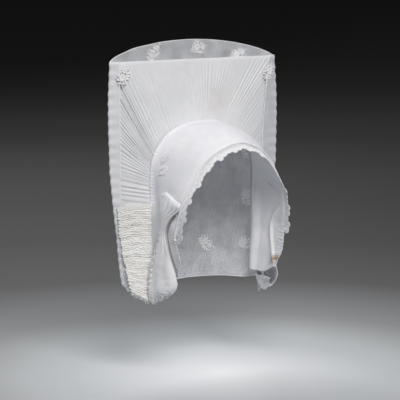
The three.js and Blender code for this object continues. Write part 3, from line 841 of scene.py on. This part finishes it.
def cotton_tulle():
    # Cotton bobbin tulle: a six-sided net, clear in its holes, whiter where it lies doubled over an edge, and
    # cloudy where its starch is uneven. Its holes are about 1.5 mm apart and are drawn at the net's pitch of
    # 2.6 mm so that they show.
    colours = bpy.context.scene.coiffe_colours
    sizes = bpy.context.scene.coiffe_sizes
    material, tree = new_material("cotton bobbin tulle")
    coordinates = add(tree, "ShaderNodeTexCoord")
    cloth = coordinates.outputs["UV"]
    place = coordinates.outputs["Object"]
    waves = [wave_of(tree, cloth, sizes.net_pitch, math.radians(turn)) for turn in (0, 60, 120)]
    holes = add(tree, MATH, {0: waves[0], 1: waves[1]}, operation="ADD")
    holes = add(tree, MATH, {0: holes, 1: waves[2]}, operation="ADD")
    thread = add(tree, RANGE, {0: holes, 1: 0.5, 2: -0.7, 3: 0.0, 4: 1.0})
    broad = add(tree, NOISE, {"Vector": place, "Scale": 45.0, **SOFT})
    small = add(tree, NOISE, {"Vector": place, "Scale": 420.0, **SOFT})
    clouds = add(tree, MATH, {0: broad, 1: small}, operation="ADD")
    clouds = add(tree, RANGE, {0: clouds, 1: 0.75, 2: 1.25, 3: 0.55, 4: 1.25})
    single = add(tree, RANGE, {0: thread, 3: 0.14, 4: 0.78})
    cover = add(tree, MATH, {0: single, 1: clouds}, operation="MULTIPLY")
    clear = add(tree, MATH, {0: 1.0, 1: cover}, operation="SUBTRACT")
    doubled = add(tree, "ShaderNodeAttribute", attribute_name="doubled").outputs["Fac"]
    layers = add(tree, MATH, {0: doubled, 1: 4.0, 2: 1.0}, operation="MULTIPLY_ADD")
    clear = add(tree, MATH, {0: clear, 1: layers}, operation="POWER")
    solid = add(tree, MATH, {0: 1.0, 1: clear}, operation="SUBTRACT")
    bump = add(tree, "ShaderNodeBump", {"Height": thread, "Strength": 0.3, "Distance": 0.0003})
    mottle = add(tree, NOISE, {"Vector": place, "Scale": 20.0, **SOFT})
    tone = add(tree, MIX, {0: mottle, 6: colours.net_shade, 7: colours.net}, data_type="RGBA")
    end_material(tree, {
        "Base Color": tone,
        "Normal": bump,
        "Alpha": solid,
        "Roughness": 0.8,
        "Sheen Weight": 0.1,
    })
    return material


def floor_with_painted_light():
    # Studio floor in matt paint, with painted light: pale below the coiffe and darker outwards, standing in
    # for the light's falloff.
    material, tree = new_material("matt studio floor paint")
    place = add(tree, "ShaderNodeTexCoord").outputs["Object"]
    level = add(tree, VECTORS, {0: place, 1: (1, 1, 0)}, operation="MULTIPLY")
    reach = add(tree, VECTORS, {0: level}, operation="LENGTH")
    rise = add(tree, "ShaderNodeSeparateXYZ", {0: place}).outputs["Z"]
    rise = add(tree, MATH, {0: rise, 1: FLOOR_DROP}, operation="ADD")
    run = add(tree, MATH, {0: reach, 1: rise}, operation="ADD")
    share = add(tree, MATH, {0: run, 1: FLOOR_REACH}, operation="DIVIDE")
    ramp = add(tree, "ShaderNodeValToRGB", {0: share})
    marks = ramp.color_ramp.elements
    for off, _ in FLOOR_PAINTED_LIGHT[1:-1]:
        marks.new(off / FLOOR_REACH)
    for mark, (off, paint) in zip(marks, FLOOR_PAINTED_LIGHT):
        mark.position = off / FLOOR_REACH
        mark.color = linear(paint)
    end_material(tree, {"Base Color": ramp, "Roughness": 0.9})
    return material


# What each slot of the record is made of.
MAKERS = {
    "starched_lawn": starched_lawn,
    "pleated_lawn": pleated_lawn,
    "crimped_cotton": crimped_cotton,
    "cotton_lace": embroidery_cotton,
    "tulle": cotton_tulle,
}
MATERIALS = {}


def material_for(slot):
    """The material of a slot, made once."""
    if slot not in MATERIALS:
        MATERIALS[slot] = MAKERS[slot]()
    return MATERIALS[slot]


# Motifs
def lace_scallop(pitch, depth, thread):
    """One scallop of bobbin lace: a ladder footing, bars, two arcs round an eyelet, and picots."""
    threads = Threads()
    half = pitch / 2
    foot = 0.2 * depth
    shoulder = 0.4 * depth
    for y in (0.02 * depth, foot):
        threads.run([(-half - 0.1, y), (half + 0.1, y)], 1.3 * thread)
    for x in np.linspace(-half, half, 8)[:-1] + half / 7:
        threads.run([(x, 0), (x, foot)], thread)
    angles = np.linspace(math.pi, 0, 11)
    outer = [(half * math.cos(a), shoulder + (depth - shoulder) * math.sin(a) ** 0.8) for a in angles]
    inner = [(0.7 * half * math.cos(a), foot + 0.62 * (depth - foot) * math.sin(a)) for a in angles]
    threads.run([(-half, foot), *outer, (half, foot)], 1.4 * thread)
    threads.run(inner, 1.2 * thread)
    for near, far in zip(inner, outer):
        threads.run([near, far], thread)
    for k in (1, 3, 5, 7, 9):
        threads.pad(outer[k], angles[k], 3.6 * thread, 3.0 * thread, 1.8 * thread, sides=6)
    eye = foot + 0.3 * (depth - foot)
    threads.run(circle((0, eye), 0.12 * pitch), 1.3 * thread, closed=True)
    rim = [(-half, foot), *outer, (half, foot)]
    hole = []
    for x, y in rim:
        share = 0.14 * pitch / math.hypot(x, y - eye)
        hole.append((x * share, eye + (y - eye) * share))
    threads.plate(rim[::-1], hole[::-1], -0.4 * thread, 0.4 * thread)
    for x, y in circle((0, eye), 0.12 * pitch, 6):
        threads.run([(x, y), (1.9 * x, eye + 1.9 * (y - eye))], thread)
    return threads.shape("lace_scallop")


def picot_loop(pitch, depth, thread):
    """One scallop of narrow trimming: a footing, a loop and three picots."""
    threads = Threads()
    half = pitch / 2
    threads.run([(-half - 0.1, 0.3), (half + 0.1, 0.3)], 1.3 * thread)
    angles = np.linspace(math.pi, 0, 9)
    arc = [(0.96 * half * math.cos(a), 0.3 + (depth - 0.6) * math.sin(a) ** 0.7) for a in angles]
    threads.run(arc, 1.5 * thread)
    for k in (2, 4, 6):
        threads.pad(arc[k], angles[k], 3.4 * thread, 3 * thread, 1.8 * thread, sides=6)
        threads.run([(arc[k][0] * 0.5, 0.3), arc[k]], thread)
    threads.pad((0, 0.42 * depth), 0, 0.56 * pitch, 0.5 * depth, 1.8 * thread)
    return threads.shape("picot_loop")


def flower_sprig(thread):
    """An embroidered sprig: two eyelet flowers of padded petals, leaves and buds along a curved stem."""
    threads = Threads()
    for centre, reach, petals in (((-3.6, -0.2), 6.2, 8), ((7.2, 3.8), 5.0, 7)):
        threads.run(circle(centre, 0.24 * reach), 2.2 * thread, closed=True)
        for k in range(petals):
            turn = 2 * math.pi * k / petals
            middle = (centre[0] + 0.7 * reach * math.cos(turn), centre[1] + 0.7 * reach * math.sin(turn))
            threads.pad(middle, turn, 0.86 * reach, 0.62 * reach, 1.3)
    stem = [(-12.5, -6), (-8, -5.8), (-3, -7.4), (2, -5.8), (6, -3), (11.5, -2.6)]
    threads.run(stem, 1.8 * thread)
    leaves = (
        (-11.8, -3.2, 60), (-9, -8.2, -50), (1.4, -8.4, -40), (9.8, -5, -30), (-11.2, 3, 130),
        (0.8, 7.4, 70), (4.8, -6.2, 20), (-6.4, 7.4, 110), (-4.6, -9.4, 10),
    )
    for x, y, turn in leaves:
        threads.pad((x, y), math.radians(turn), 5.8, 3.2, 1.2)
    for x, y in ((13.6, -0.8), (-14.4, -0.8), (3.6, 9.8), (13, 8.6), (-13.4, -8.4), (-10.6, 7.6), (7, -8)):
        threads.pad((x, y), 0, 2.8, 2.8, 1.2, sides=6)
    return threads.shape("flower_sprig")


def running_stitch(length, thread):
    threads = Threads()
    threads.pad((0, 0), 0, length, 2.6 * thread, 1.4 * thread, sides=6)
    return threads.shape("running_stitch")


def loose_thread(length, thread):
    """A short frayed end that curls a little."""
    threads = Threads()
    path = [(0, 0), (0.1 * length, 0.35 * length), (-0.05 * length, 0.7 * length), (0.12 * length, length)]
    threads.run(path, thread, sides=3)
    return threads.shape("loose_thread")


def rows_on(surface, along, across=0.0, step=1e-3):
    """Points on a surface, which way its first place runs there, and a normal, inwards on the hood."""
    along = np.asarray(along, float)
    across = np.broadcast_to(np.asarray(across, float), along.shape)
    point = surface(along, across)
    run = unit(surface(along + step, across) - surface(along - step, across))
    reach = unit(surface(along, across + step) - surface(along, across - step))
    up = unit(np.cross(run, reach))
    return point, run, up


def seat_on(cloth, points, up):
    """The nearest points on one face of a finished cloth, with its normals there."""
    cloth = bpy.data.objects[cloth]
    hits = [cloth.closest_point_on_mesh(Vector((p + 2 * out) / METRE)) for p, out in zip(points, up)]
    seats = np.array([hit[1] for hit in hits]) * METRE
    normals = np.array([hit[2] for hit in hits])
    return seats, normals * np.sign(np.sum(normals * up, axis=1))[:, None]


# Properties
def length_property(name, description, default, low, high):
    return FloatProperty(name=name, description=description, default=default, min=low, max=high,
                         unit="LENGTH")


def count_property(name, description, default, low, high):
    return IntProperty(name=name, description=description, default=default, min=low, max=high)


def colour_property(name, description, default):
    return FloatVectorProperty(name=name, description=description, default=linear(default), min=0, max=1,
                               size=4, subtype="COLOR")


class CoiffeSizes(bpy.types.PropertyGroup):
    lawn_wall: length_property("Lawn", "Thickness of the starched lawn", 0.0008, 0.0003, 0.0016)
    net_wall: length_property("Tulle", "Thickness of the tulle", 0.0004, 0.0002, 0.001)
    net_pitch: length_property("Net", "Distance between the tulle's holes", 0.0026, 0.001, 0.006)
    pleats: count_property("Pleats", "Pleats along the panel's edge", 124, 40, 220)
    pleat_depth: length_property("Pleat depth", "Half the height of a pleat", 0.001, 0, 0.003)
    crimps: count_property("Crimps", "Crimps down a band", 40, 20, 90)
    crimp_depth: length_property("Crimp depth", "Half the height of a crimp", 0.0007, 0, 0.003)
    scallop: length_property("Scallop", "Width of one lace scallop", 0.0099, 0.004, 0.02)
    picot: length_property("Picot", "Width of one picot on the lappets", 0.009, 0.003, 0.015)
    thread: length_property("Thread", "Radius of the lace and embroidery thread", 0.00048, 0.0001, 0.001)


class CoiffeColours(bpy.types.PropertyGroup):
    lawn: colour_property("Lawn", "Starched lawn", "#FBFBFE")
    lawn_shade: colour_property("Lawn shade", "Starched lawn where it is duller", "#F3F4F9")
    pleats: colour_property("Pleats", "Pleated lawn", "#EEEEF1")
    pleats_shade: colour_property("Pleats shade", "Pleated lawn where it is duller", "#E7E8EC")
    cream: colour_property("Crimped cotton", "Unbleached cotton", "#F8F8F7")
    cream_shade: colour_property("Crimped shade", "Unbleached cotton where it is duller", "#F0EFEC")
    thread: colour_property("Thread", "Lace and embroidery thread", "#FEFEFF")
    thread_shade: colour_property("Thread shade", "The thread where it is duller", "#F5F5F8")
    net: colour_property("Tulle", "Tulle", "#F8F9FC")
    net_shade: colour_property("Tulle shade", "Tulle where it is duller", "#ECEEF4")


# Pieces
class COIFFE_OT_hood(bpy.types.Operator):
    """Smooth starched hood over the crown and the sides of the head"""

    bl_idname = "coiffe.hood"
    bl_label = "Hood"

    def execute(self, context):
        sizes = context.scene.coiffe_sizes
        v, u = shares(72, 480)
        u = 2 * u - 1
        depth = hood_depth(u)
        reach = (fan_seam_y() - SEAM_DEPTH) / depth
        v = v * (1 + reach) - reach
        points = hood_point(u, v)
        inside = (0, 0, -120)
        down = np.abs(u)
        arc = u * SEAM.length / 2
        from_seam = v * depth
        from_face = (1 - v) * depth
        # The ironed cloth's unevenness, more at the sides, and the hollow beside the seam over the ears.
        relief = 0.5 * swell(arc, from_seam, wave=55, seed=3) * (0.4 + smoothstep(down, 0.3, 0.6))
        relief -= 5.5 * hump(v, -0.06, 0.3) * smoothstep(down, 0.42, 0.62)
        # Gathers at the rear seam and below the lace's end, and the rise onto the panel.
        gathers = np.sin(2 * math.pi * u * 60 + swell(arc, from_seam, wave=20, seed=5))
        relief += 0.35 * gathers * np.exp(-v / 0.06)
        gathers = np.sin(arc + swell(arc, from_seam, wave=12, seed=6))
        relief += 0.9 * gathers * np.exp((v - 1) / 0.12) * smoothstep(down, 0.66, 0.72)
        relief += 4.5 * np.exp(-(v + reach) * depth / 4.0)
        # Grooves at the face edge, behind the cord and along the stitches.
        for off, deep in ((5.4, 1.0), (0.0, 0.6), (9.0, 0.5)):
            relief -= deep * np.exp(-((from_face - off) / 1.3) ** 2) * (down < lace_end())
        # The cloth gives way under the lappets.
        sunk = self.by_lappets(points, v) * (0.4 + 0.6 * smoothstep(-points[..., 2], 130, 180))
        relief -= 5.0 * sunk
        points = points + normals_of(points, inside) * relief[..., None]
        corner = smoothstep(down, 0.8, 1) * smoothstep(v, 0.5, 1)
        points = points + np.stack([0 * u, np.where(u < 0, 11, 1) * corner, 14 * corner], axis=-1)
        # Painted shade: a tan darkening in the folds beside the lappets, stronger on the wearer's right. Also
        # a real rust mark at the wearer's left foot.
        tan_and_painted_shade = np.where(u < 0, 0.55, 0.15) * self.by_lappets(points, v)
        tan_and_painted_shade += 0.9 * hump(u, 0.88, 0.99) * hump(v, 0.6, 1.15)
        hood = grid_mesh("hood_cloth", points, inside, {"tan_and_painted_shade": tan_and_painted_shade})
        finish_cloth(hood, sizes.lawn_wall, "starched_lawn", "hood")
        return {"FINISHED"}

    def by_lappets(self, points, v):
        """1 where the front edge of a lappet lies on the hood, and 0 from a few millimetres off it."""
        far = np.full(points.shape[:2], np.inf)
        for side in (-1, 1):
            edge = lappet_edge(side, 3).by_row(np.linspace(0, 0.85, 70))[:, 1:]
            off = np.linalg.norm(points[:, :, None, 1:] - edge, axis=-1).min(axis=-1)
            near = (points[..., 0] * side > 40) & (points[..., 2] < -90)
            far = np.where(near, np.minimum(far, off), far)
        return np.exp(-(far / 2.6) ** 2) * (1 - smoothstep(v, 0.84, 0.96))


class COIFFE_OT_lace(bpy.types.Operator):
    """Scalloped lace on the face edge, with the corded seam and its stitches"""

    bl_idname = "coiffe.lace"
    bl_label = "Lace edging"

    def execute(self, context):
        sizes = context.scene.coiffe_sizes
        thread = sizes.thread * METRE
        end = lace_end()
        pitch = sizes.scallop * METRE
        length = end * FACE.length
        count = round(length / pitch)
        number = np.arange(count)
        u = end * (2 * (number + 0.5) / count - 1)
        tips = np.array(LACE_TIPS)[number % len(LACE_TIPS)]
        uneven = 1 + 0.08 * swell(u * 300, 0 * u, wave=17, seed=8)
        tips = tips * look_up(LACE_REACH, 1, np.abs(u)) * uneven
        size = np.stack([tips**0, tips, tips**0], axis=-1)
        motif = lace_scallop(length / count, LACE_WIDTH, thread)
        point, run, up = rows_on(hood_point, u, 1 + SEAM_GAP / hood_depth(u))
        sew("lace_scallops", motif, point, -run, -up, size, "cotton_lace", "lace_edging")
        radius = 1.25 * PIPING_RADIUS
        u = np.linspace(-PIPING_SHARE * end, PIPING_SHARE * end, 260)
        point, _, up = rows_on(hood_point, u, 1 - 2.2 * PIPING_RADIUS / hood_depth(u))
        roll("piping_cord", point - up * radius, radius / METRE, 8, "starched_lawn", "edge_piping")
        u = np.linspace(-PIPING_SHARE * end, PIPING_SHARE * end, round(length / STITCH_PITCH))
        point, run, up = rows_on(hood_point, u, 1 - 9 * PIPING_RADIUS / hood_depth(u))
        on_cloth = point - up * 0.5 * sizes.lawn_wall * METRE
        sew("piping_stitches", running_stitch(2.6, thread), on_cloth, run, -up, 1.0, "cotton_lace")
        return {"FINISHED"}


class COIFFE_OT_fan(bpy.types.Operator):
    """Upright panel of pressed pleats behind the hood"""

    bl_idname = "coiffe.fan"
    bl_label = "Pleated panel"

    def execute(self, context):
        sizes = context.scene.coiffe_sizes
        w, u = shares(20, 6 * sizes.pleats)
        u = 2 * u - 1
        points = fan_point(u, w)
        inside = (0, 1000, 0)
        arc = u * (FAN_HALF + FAN_TOP + FAN_BOTTOM)
        relief = 0.8 * swell(arc, w * 60, wave=70, seed=11) * hump(w, -0.1, 1.1)
        points = points + normals_of(points, inside) * relief[..., None]
        # The pleats vary in spacing and depth, and lie flatter on the wearer's left.
        along = (1 + u) / 2 + 0.0022 * swell(arc, 0 * arc, wave=40, seed=12)
        uneven = 0.75 + 0.45 * swell(arc, 0 * arc, wave=25, seed=13)
        deep = look_up(PLEAT_DEPTHS, 1, np.abs(u)) * uneven
        deep = np.clip(deep, 0.1, 2) * np.where(u > 0, 1 - 0.4 * smoothstep(u, 0.02, 0.2), 1)
        fullness = deep * (0.35 + 0.65 * hump(w, -0.25, 1.25))
        # A faint tan tint over the top of the panel, just to the wearer's left of the middle and nearer the
        # seam than the edge.
        tan_and_painted_shade = 0.14 * hump(u, -0.05, 0.33) * hump(w, -0.2, 0.75)
        values = {"along": along, "fullness": fullness, "tan_and_painted_shade": tan_and_painted_shade}
        panel = grid_mesh("panel_pleats", points, inside, values)
        run_tree(panel, folds_tree, Folds=float(sizes.pleats), Depth=sizes.pleat_depth, Knife=0.35,
                 Material=material_for("pleated_lawn"))
        finish_cloth(panel, 0.75 * sizes.lawn_wall, "pleated_lawn", "fan_panel")
        return {"FINISHED"}


class COIFFE_OT_veil(bpy.types.Operator):
    """Tulle veil round the back, with its rolled hem"""

    bl_idname = "coiffe.veil"
    bl_label = "Tulle veil"

    def execute(self, context):
        sizes = context.scene.coiffe_sizes
        down, across = shares(110, 260)
        across = 2 * across - 1
        a = np.abs(across)
        points = veil_point(across, down)
        # The hem curves up to its corners, and the net puckers where it turns round the panel's sides.
        points[..., 2] += 11 * smoothstep(a, 0.6, 1) * smoothstep(down, 0.8, 1)
        inside = (0, 0, -80)
        relief = 0.7 * np.sin(2 * math.pi * down * 24) * hump(a, 0.8, 1.02)
        points = points + normals_of(points, inside) * relief[..., None]
        # Where the net lies double, more so on the wearer's right.
        doubled = np.where(across < 0, 1.4 - 1.0 * smoothstep(down, 0.5, 0.75), 0.3)
        doubled = doubled * smoothstep(a, VEIL_BACK - 0.03, VEIL_BACK)
        veil = grid_mesh("veil_net", points, inside, {"doubled": doubled})
        finish_cloth(veil, sizes.net_wall, "tulle", "back_veil")
        rim = np.vstack([points[0, ::2], points[::2, -1], points[-1, ::-2], points[::-2, 0]])
        roll("veil_hem", rim, 0.0006, 6, "cotton_lace")
        return {"FINISHED"}


class COIFFE_OT_sprigs(bpy.types.Operator):
    """Embroidered sprigs on the veil, the panel's corners and the hood"""

    bl_idname = "coiffe.sprigs"
    bl_label = "Sprigs"

    def execute(self, context):
        sizes = context.scene.coiffe_sizes
        motif = flower_sprig(sizes.thread * METRE)
        places = list(VEIL_SPRIGS)
        # Rows of four and three sprigs in turn down the back of the veil.
        for row in range(1, VEIL_SPRIG_ROWS + 1):
            for across in np.linspace(-0.66, 0.66, 4 - row % 2):
                places.append((across, 0.05 + 0.2 * row, 70 * row + 90 * across, 1.0))
        # Columns: name, cloth that they are seated on, its surface, places, face and lift off it.
        groups = (
            ("veil_sprigs", "veil_net", veil_point, places, -1, 0.1),
            ("panel_sprigs", None, fan_point, PANEL_SPRIGS, 1, 0.8 + VEIL_TURN),
            ("hood_sprigs", "hood_cloth", hood_point, HOOD_SPRIGS, -1, 0.4),
        )
        for name, cloth, surface, rows, face, lift in groups:
            along, across, turn, size = np.array(rows, float).T
            point, run, up = rows_on(surface, along, across)
            up = up * face
            if cloth:
                point, up = seat_on(cloth, point, up)
            turn = np.radians(turn)[:, None]
            run = run * np.cos(turn) + np.cross(up, run) * np.sin(turn)
            sew(name, motif, point + up * lift, run, up, size[:, None], "cotton_lace")
        return {"FINISHED"}


class COIFFE_OT_bands(bpy.types.Operator):
    """Crimped bands pinned over the lower sides of the panel"""

    bl_idname = "coiffe.bands"
    bl_label = "Crimped bands"

    def execute(self, context):
        sizes = context.scene.coiffe_sizes
        for name, side in (("right", -1), ("left", 1)):
            drop, across = shares(6 * sizes.crimps, 48)
            points = band_point(side, drop, across)
            inside = (0, 1000, 0)
            width = across * BAND_WIDTH
            length = drop * BAND_LENGTH
            ragged = 1.2 * swell(length, 0 * drop, wave=7, seed=31) * (1 - smoothstep(across, 0, 0.12))
            points[..., 0] += side * ragged
            # The crimps waver and break up into cells, and ruffle more towards the lower end.
            waver = 0.005 * swell(width, length, wave=18, seed=32)
            waver += 0.006 * swell(width, length, wave=5, seed=33)
            cells = np.clip(0.85 + 0.55 * swell(width, 1.6 * length, wave=7, seed=34), 0.1, 1.6)
            ruffle = 1 + 0.7 * smoothstep(drop, 0.8, 1)
            fullness = cells * ruffle * (0.3 + 0.7 * smoothstep(drop, 0, 0.08))
            waves = 0.5 * swell(0.35 * width, length, wave=11, seed=35) * smoothstep(drop, 0.02, 0.2)
            points = points + normals_of(points, inside) * waves[..., None]
            values = {"along": drop + waver, "fullness": fullness}
            band = grid_mesh("band_crimps_" + name, points, inside, values)
            run_tree(band, folds_tree, Folds=float(sizes.crimps), Depth=sizes.crimp_depth, Knife=0.0,
                     Material=material_for("crimped_cotton"))
            finish_cloth(band, sizes.lawn_wall, "crimped_cotton", "crimped_band_" + name)
            self.fray(name, side)
        return {"FINISHED"}

    def fray(self, name, side):
        """Loose threads along the cut lower end and the outer border."""
        chance = np.random.RandomState(51)
        below = 30
        beside = 22
        place = np.concatenate([np.ones(below), chance.uniform(0.2, 1, beside)])
        over = np.concatenate([np.linspace(0.02, 0.7, below), np.zeros(beside)])
        point, run, up = rows_on(lambda across, drop: band_point(side, drop, across), over, place)
        out = np.where(place[:, None] == 1, np.cross(up, run), -run)
        turn = chance.uniform(-0.6, 0.6, len(place))[:, None]
        lie = np.cross(out, up) * np.cos(turn) + out * np.sin(turn)
        size = chance.uniform(0.5, 1.3, (len(place), 1))
        sew("band_fray_" + name, loose_thread(4.6, 0.36), point, lie, up, size, "crimped_cotton")


class COIFFE_OT_lappets(bpy.types.Operator):
    """Lappets gathered at the cheeks, with their round lobes and picot trimming"""

    bl_idname = "coiffe.lappets"
    bl_label = "Lappets"

    def execute(self, context):
        sizes = context.scene.coiffe_sizes
        pitch = sizes.picot * METRE
        motif = picot_loop(pitch, 4.2, sizes.thread * METRE)
        trim = np.array(TRIM_ROWS) / (len(LAPPET_ROWS) - 1)
        for name, side in (("right", -1), ("left", 1)):
            lappet = Lappet(side)
            s, t = shares(300, 56)
            points = lappet.at(s, t)
            inside = (0, 0, -180)
            # Gathers that run down from the cheek, and the roll in which they end above.
            puckers = np.sin(2 * math.pi * (6 * t + 0.4 * swell(s * 200, t * 40, wave=40, seed=41)))
            folds = np.sin(2 * math.pi * (3.5 * t + 0.4 * swell(s * 200, t * 40, wave=60, seed=43)))
            relief = 1.7 * puckers * hump(s, -0.03, 0.2) + 0.8 * folds * hump(s, 0, 0.5)
            relief += (1.4 + 0.6 * puckers) * hump(s, -0.03, 0.11) - 3.2 * np.exp(-s / 0.012)
            # The lobe's slack wrinkles, and the fine crimps of its turned-under end.
            wrinkles = swell(0.4 * s * 250, t * 45, wave=24, seed=42)
            wrinkles += 0.12 * swell(s * 250, t * 45, wave=14, seed=45)
            crimps = np.sin(2 * math.pi * (75 * s + 0.3 * swell(s * 250, t * 45, wave=9, seed=44)))
            relief += 0.85 * wrinkles * smoothstep(s, 0.3, 0.5) + 0.8 * crimps * smoothstep(s, 0.68, 0.78)
            points = points + normals_of(points, inside) * relief[..., None]
            # A faint tan tint over the middle of the lappet, down into its lobe.
            tan_and_painted_shade = 0.14 * hump(s, 0.1, 0.75) * hump(t, 0.1, 1.2)
            cloth = grid_mesh("lappet_cloth_" + name, points, inside, {"tan_and_painted_shade": tan_and_painted_shade})
            finish_cloth(cloth, sizes.lawn_wall, "starched_lawn", "lappet_" + name)
            edge = lappet.at(np.linspace(*trim, 200), np.zeros(200))
            count = round(np.linalg.norm(np.diff(edge, axis=0), axis=1).sum() / pitch)
            place = np.linspace(*trim, 2 * count + 1)[1::2]
            point, run, up = rows_on(lappet.at, place)
            size = (1.0, 1.4, 1.8)
            sew("lappet_picots_" + name, motif, point, -run, up, size, "cotton_lace", "lappet_trim_" + name)
        return {"FINISHED"}


class COIFFE_OT_stage(bpy.types.Operator):
    """Pale floor, soft studio lights and the camera"""

    bl_idname = "coiffe.stage"
    bl_label = "Stage"

    def execute(self, context):
        scene = context.scene
        scene.view_settings.view_transform = "Standard"
        self.floor()
        self.camera(scene)
        for name, place, aim, size, power, tint in LIGHTS:
            light = bpy.data.lights.new(name, "AREA")
            light.size = size
            light.energy = power
            light.color = linear(tint)[:3]
            lamp = bpy.data.objects.new(name, light)
            lamp.location = place
            lamp.visible_camera = False
            lamp.rotation_euler = (Vector(aim) - Vector(place)).to_track_quat("-Z", "Y").to_euler()
            scene.collection.objects.link(lamp)
        world = bpy.data.worlds.new("studio")
        world.use_nodes = True
        around = world.node_tree.nodes["Background"].inputs
        around["Color"].default_value = linear("#9A9CA0")
        around["Strength"].default_value = 0.6
        scene.world = world
        return {"FINISHED"}

    def floor(self):
        """A round floor that curves up into a low wall, with painted light: pale below the coiffe and darker
        outwards.
        """
        turn = np.linspace(0, 2 * math.pi, 97)
        bend = np.linspace(0, math.pi / 2, 13)
        curve = FLOOR_FLAT + FLOOR_CURVE * np.sin(bend)
        reach = np.concatenate([(0, FLOOR_FLAT / 2), curve, (FLOOR_FLAT + FLOOR_CURVE,)])[:, None]
        height = np.concatenate([(0, 0), FLOOR_CURVE * (1 - np.cos(bend)), (FLOOR_RISE,)])[:, None]
        z = height + 0 * turn - FLOOR_DROP
        points = np.stack([reach * np.cos(turn), reach * np.sin(turn), z], axis=-1)
        floor = grid_mesh("floor", points * METRE, (0, 0, -50000))
        floor.data.materials.append(floor_with_painted_light())

    def camera(self, scene):
        """The camera at the photograph's angle, moved sideways so that the origin lies at its pixel."""
        level = math.cos(CAMERA_ELEVATION)
        right = Vector((math.cos(CAMERA_AZIMUTH), math.sin(CAMERA_AZIMUTH), 0))
        back = Vector((right.y * level, -right.x * level, math.sin(CAMERA_ELEVATION)))
        up = back.cross(right)
        shift_right = (ORIGIN_PIXEL[0] - IMAGE_SIZE / 2) * PIXEL
        shift_up = (IMAGE_SIZE / 2 - ORIGIN_PIXEL[1]) * PIXEL
        aim = -(right * shift_right + up * shift_up)
        camera = bpy.data.objects.new("camera", bpy.data.cameras.new("camera"))
        camera.data.lens = CAMERA_LENS
        axes = Matrix((right, up, back)).transposed().to_4x4()
        camera.matrix_world = Matrix.Translation(aim + back * CAMERA_DISTANCE) @ axes
        scene.collection.objects.link(camera)
        scene.camera = camera


OPERATORS = (
    COIFFE_OT_hood,
    COIFFE_OT_lace,
    COIFFE_OT_fan,
    COIFFE_OT_veil,
    COIFFE_OT_sprigs,
    COIFFE_OT_bands,
    COIFFE_OT_lappets,
    COIFFE_OT_stage,
)


class COIFFE_PT_panel(bpy.types.Panel):
    """Sizes, colours and pieces of the coiffe"""

    bl_idname = "COIFFE_PT_panel"
    bl_label = "Coiffe"
    bl_space_type = "VIEW_3D"
    bl_region_type = "UI"
    bl_category = "Coiffe"

    def draw(self, context):
        layout = self.layout
        for group in (context.scene.coiffe_sizes, context.scene.coiffe_colours):
            for key in group.__annotations__:
                layout.prop(group, key)
        for operator in OPERATORS:
            layout.operator(operator.bl_idname)


CLASSES = (CoiffeSizes, CoiffeColours, *OPERATORS, COIFFE_PT_panel)


def register():
    for each in CLASSES:
        bpy.utils.register_class(each)
    bpy.types.Scene.coiffe_sizes = PointerProperty(type=CoiffeSizes)
    bpy.types.Scene.coiffe_colours = PointerProperty(type=CoiffeColours)


def unregister():
    del bpy.types.Scene.coiffe_colours
    del bpy.types.Scene.coiffe_sizes
    for each in reversed(CLASSES):
        bpy.utils.unregister_class(each)


def main():
    register()
    for operator in OPERATORS:
        group, name = operator.bl_idname.split(".")
        getattr(getattr(bpy.ops, group), name)()


if __name__ == "__main__":
    main()
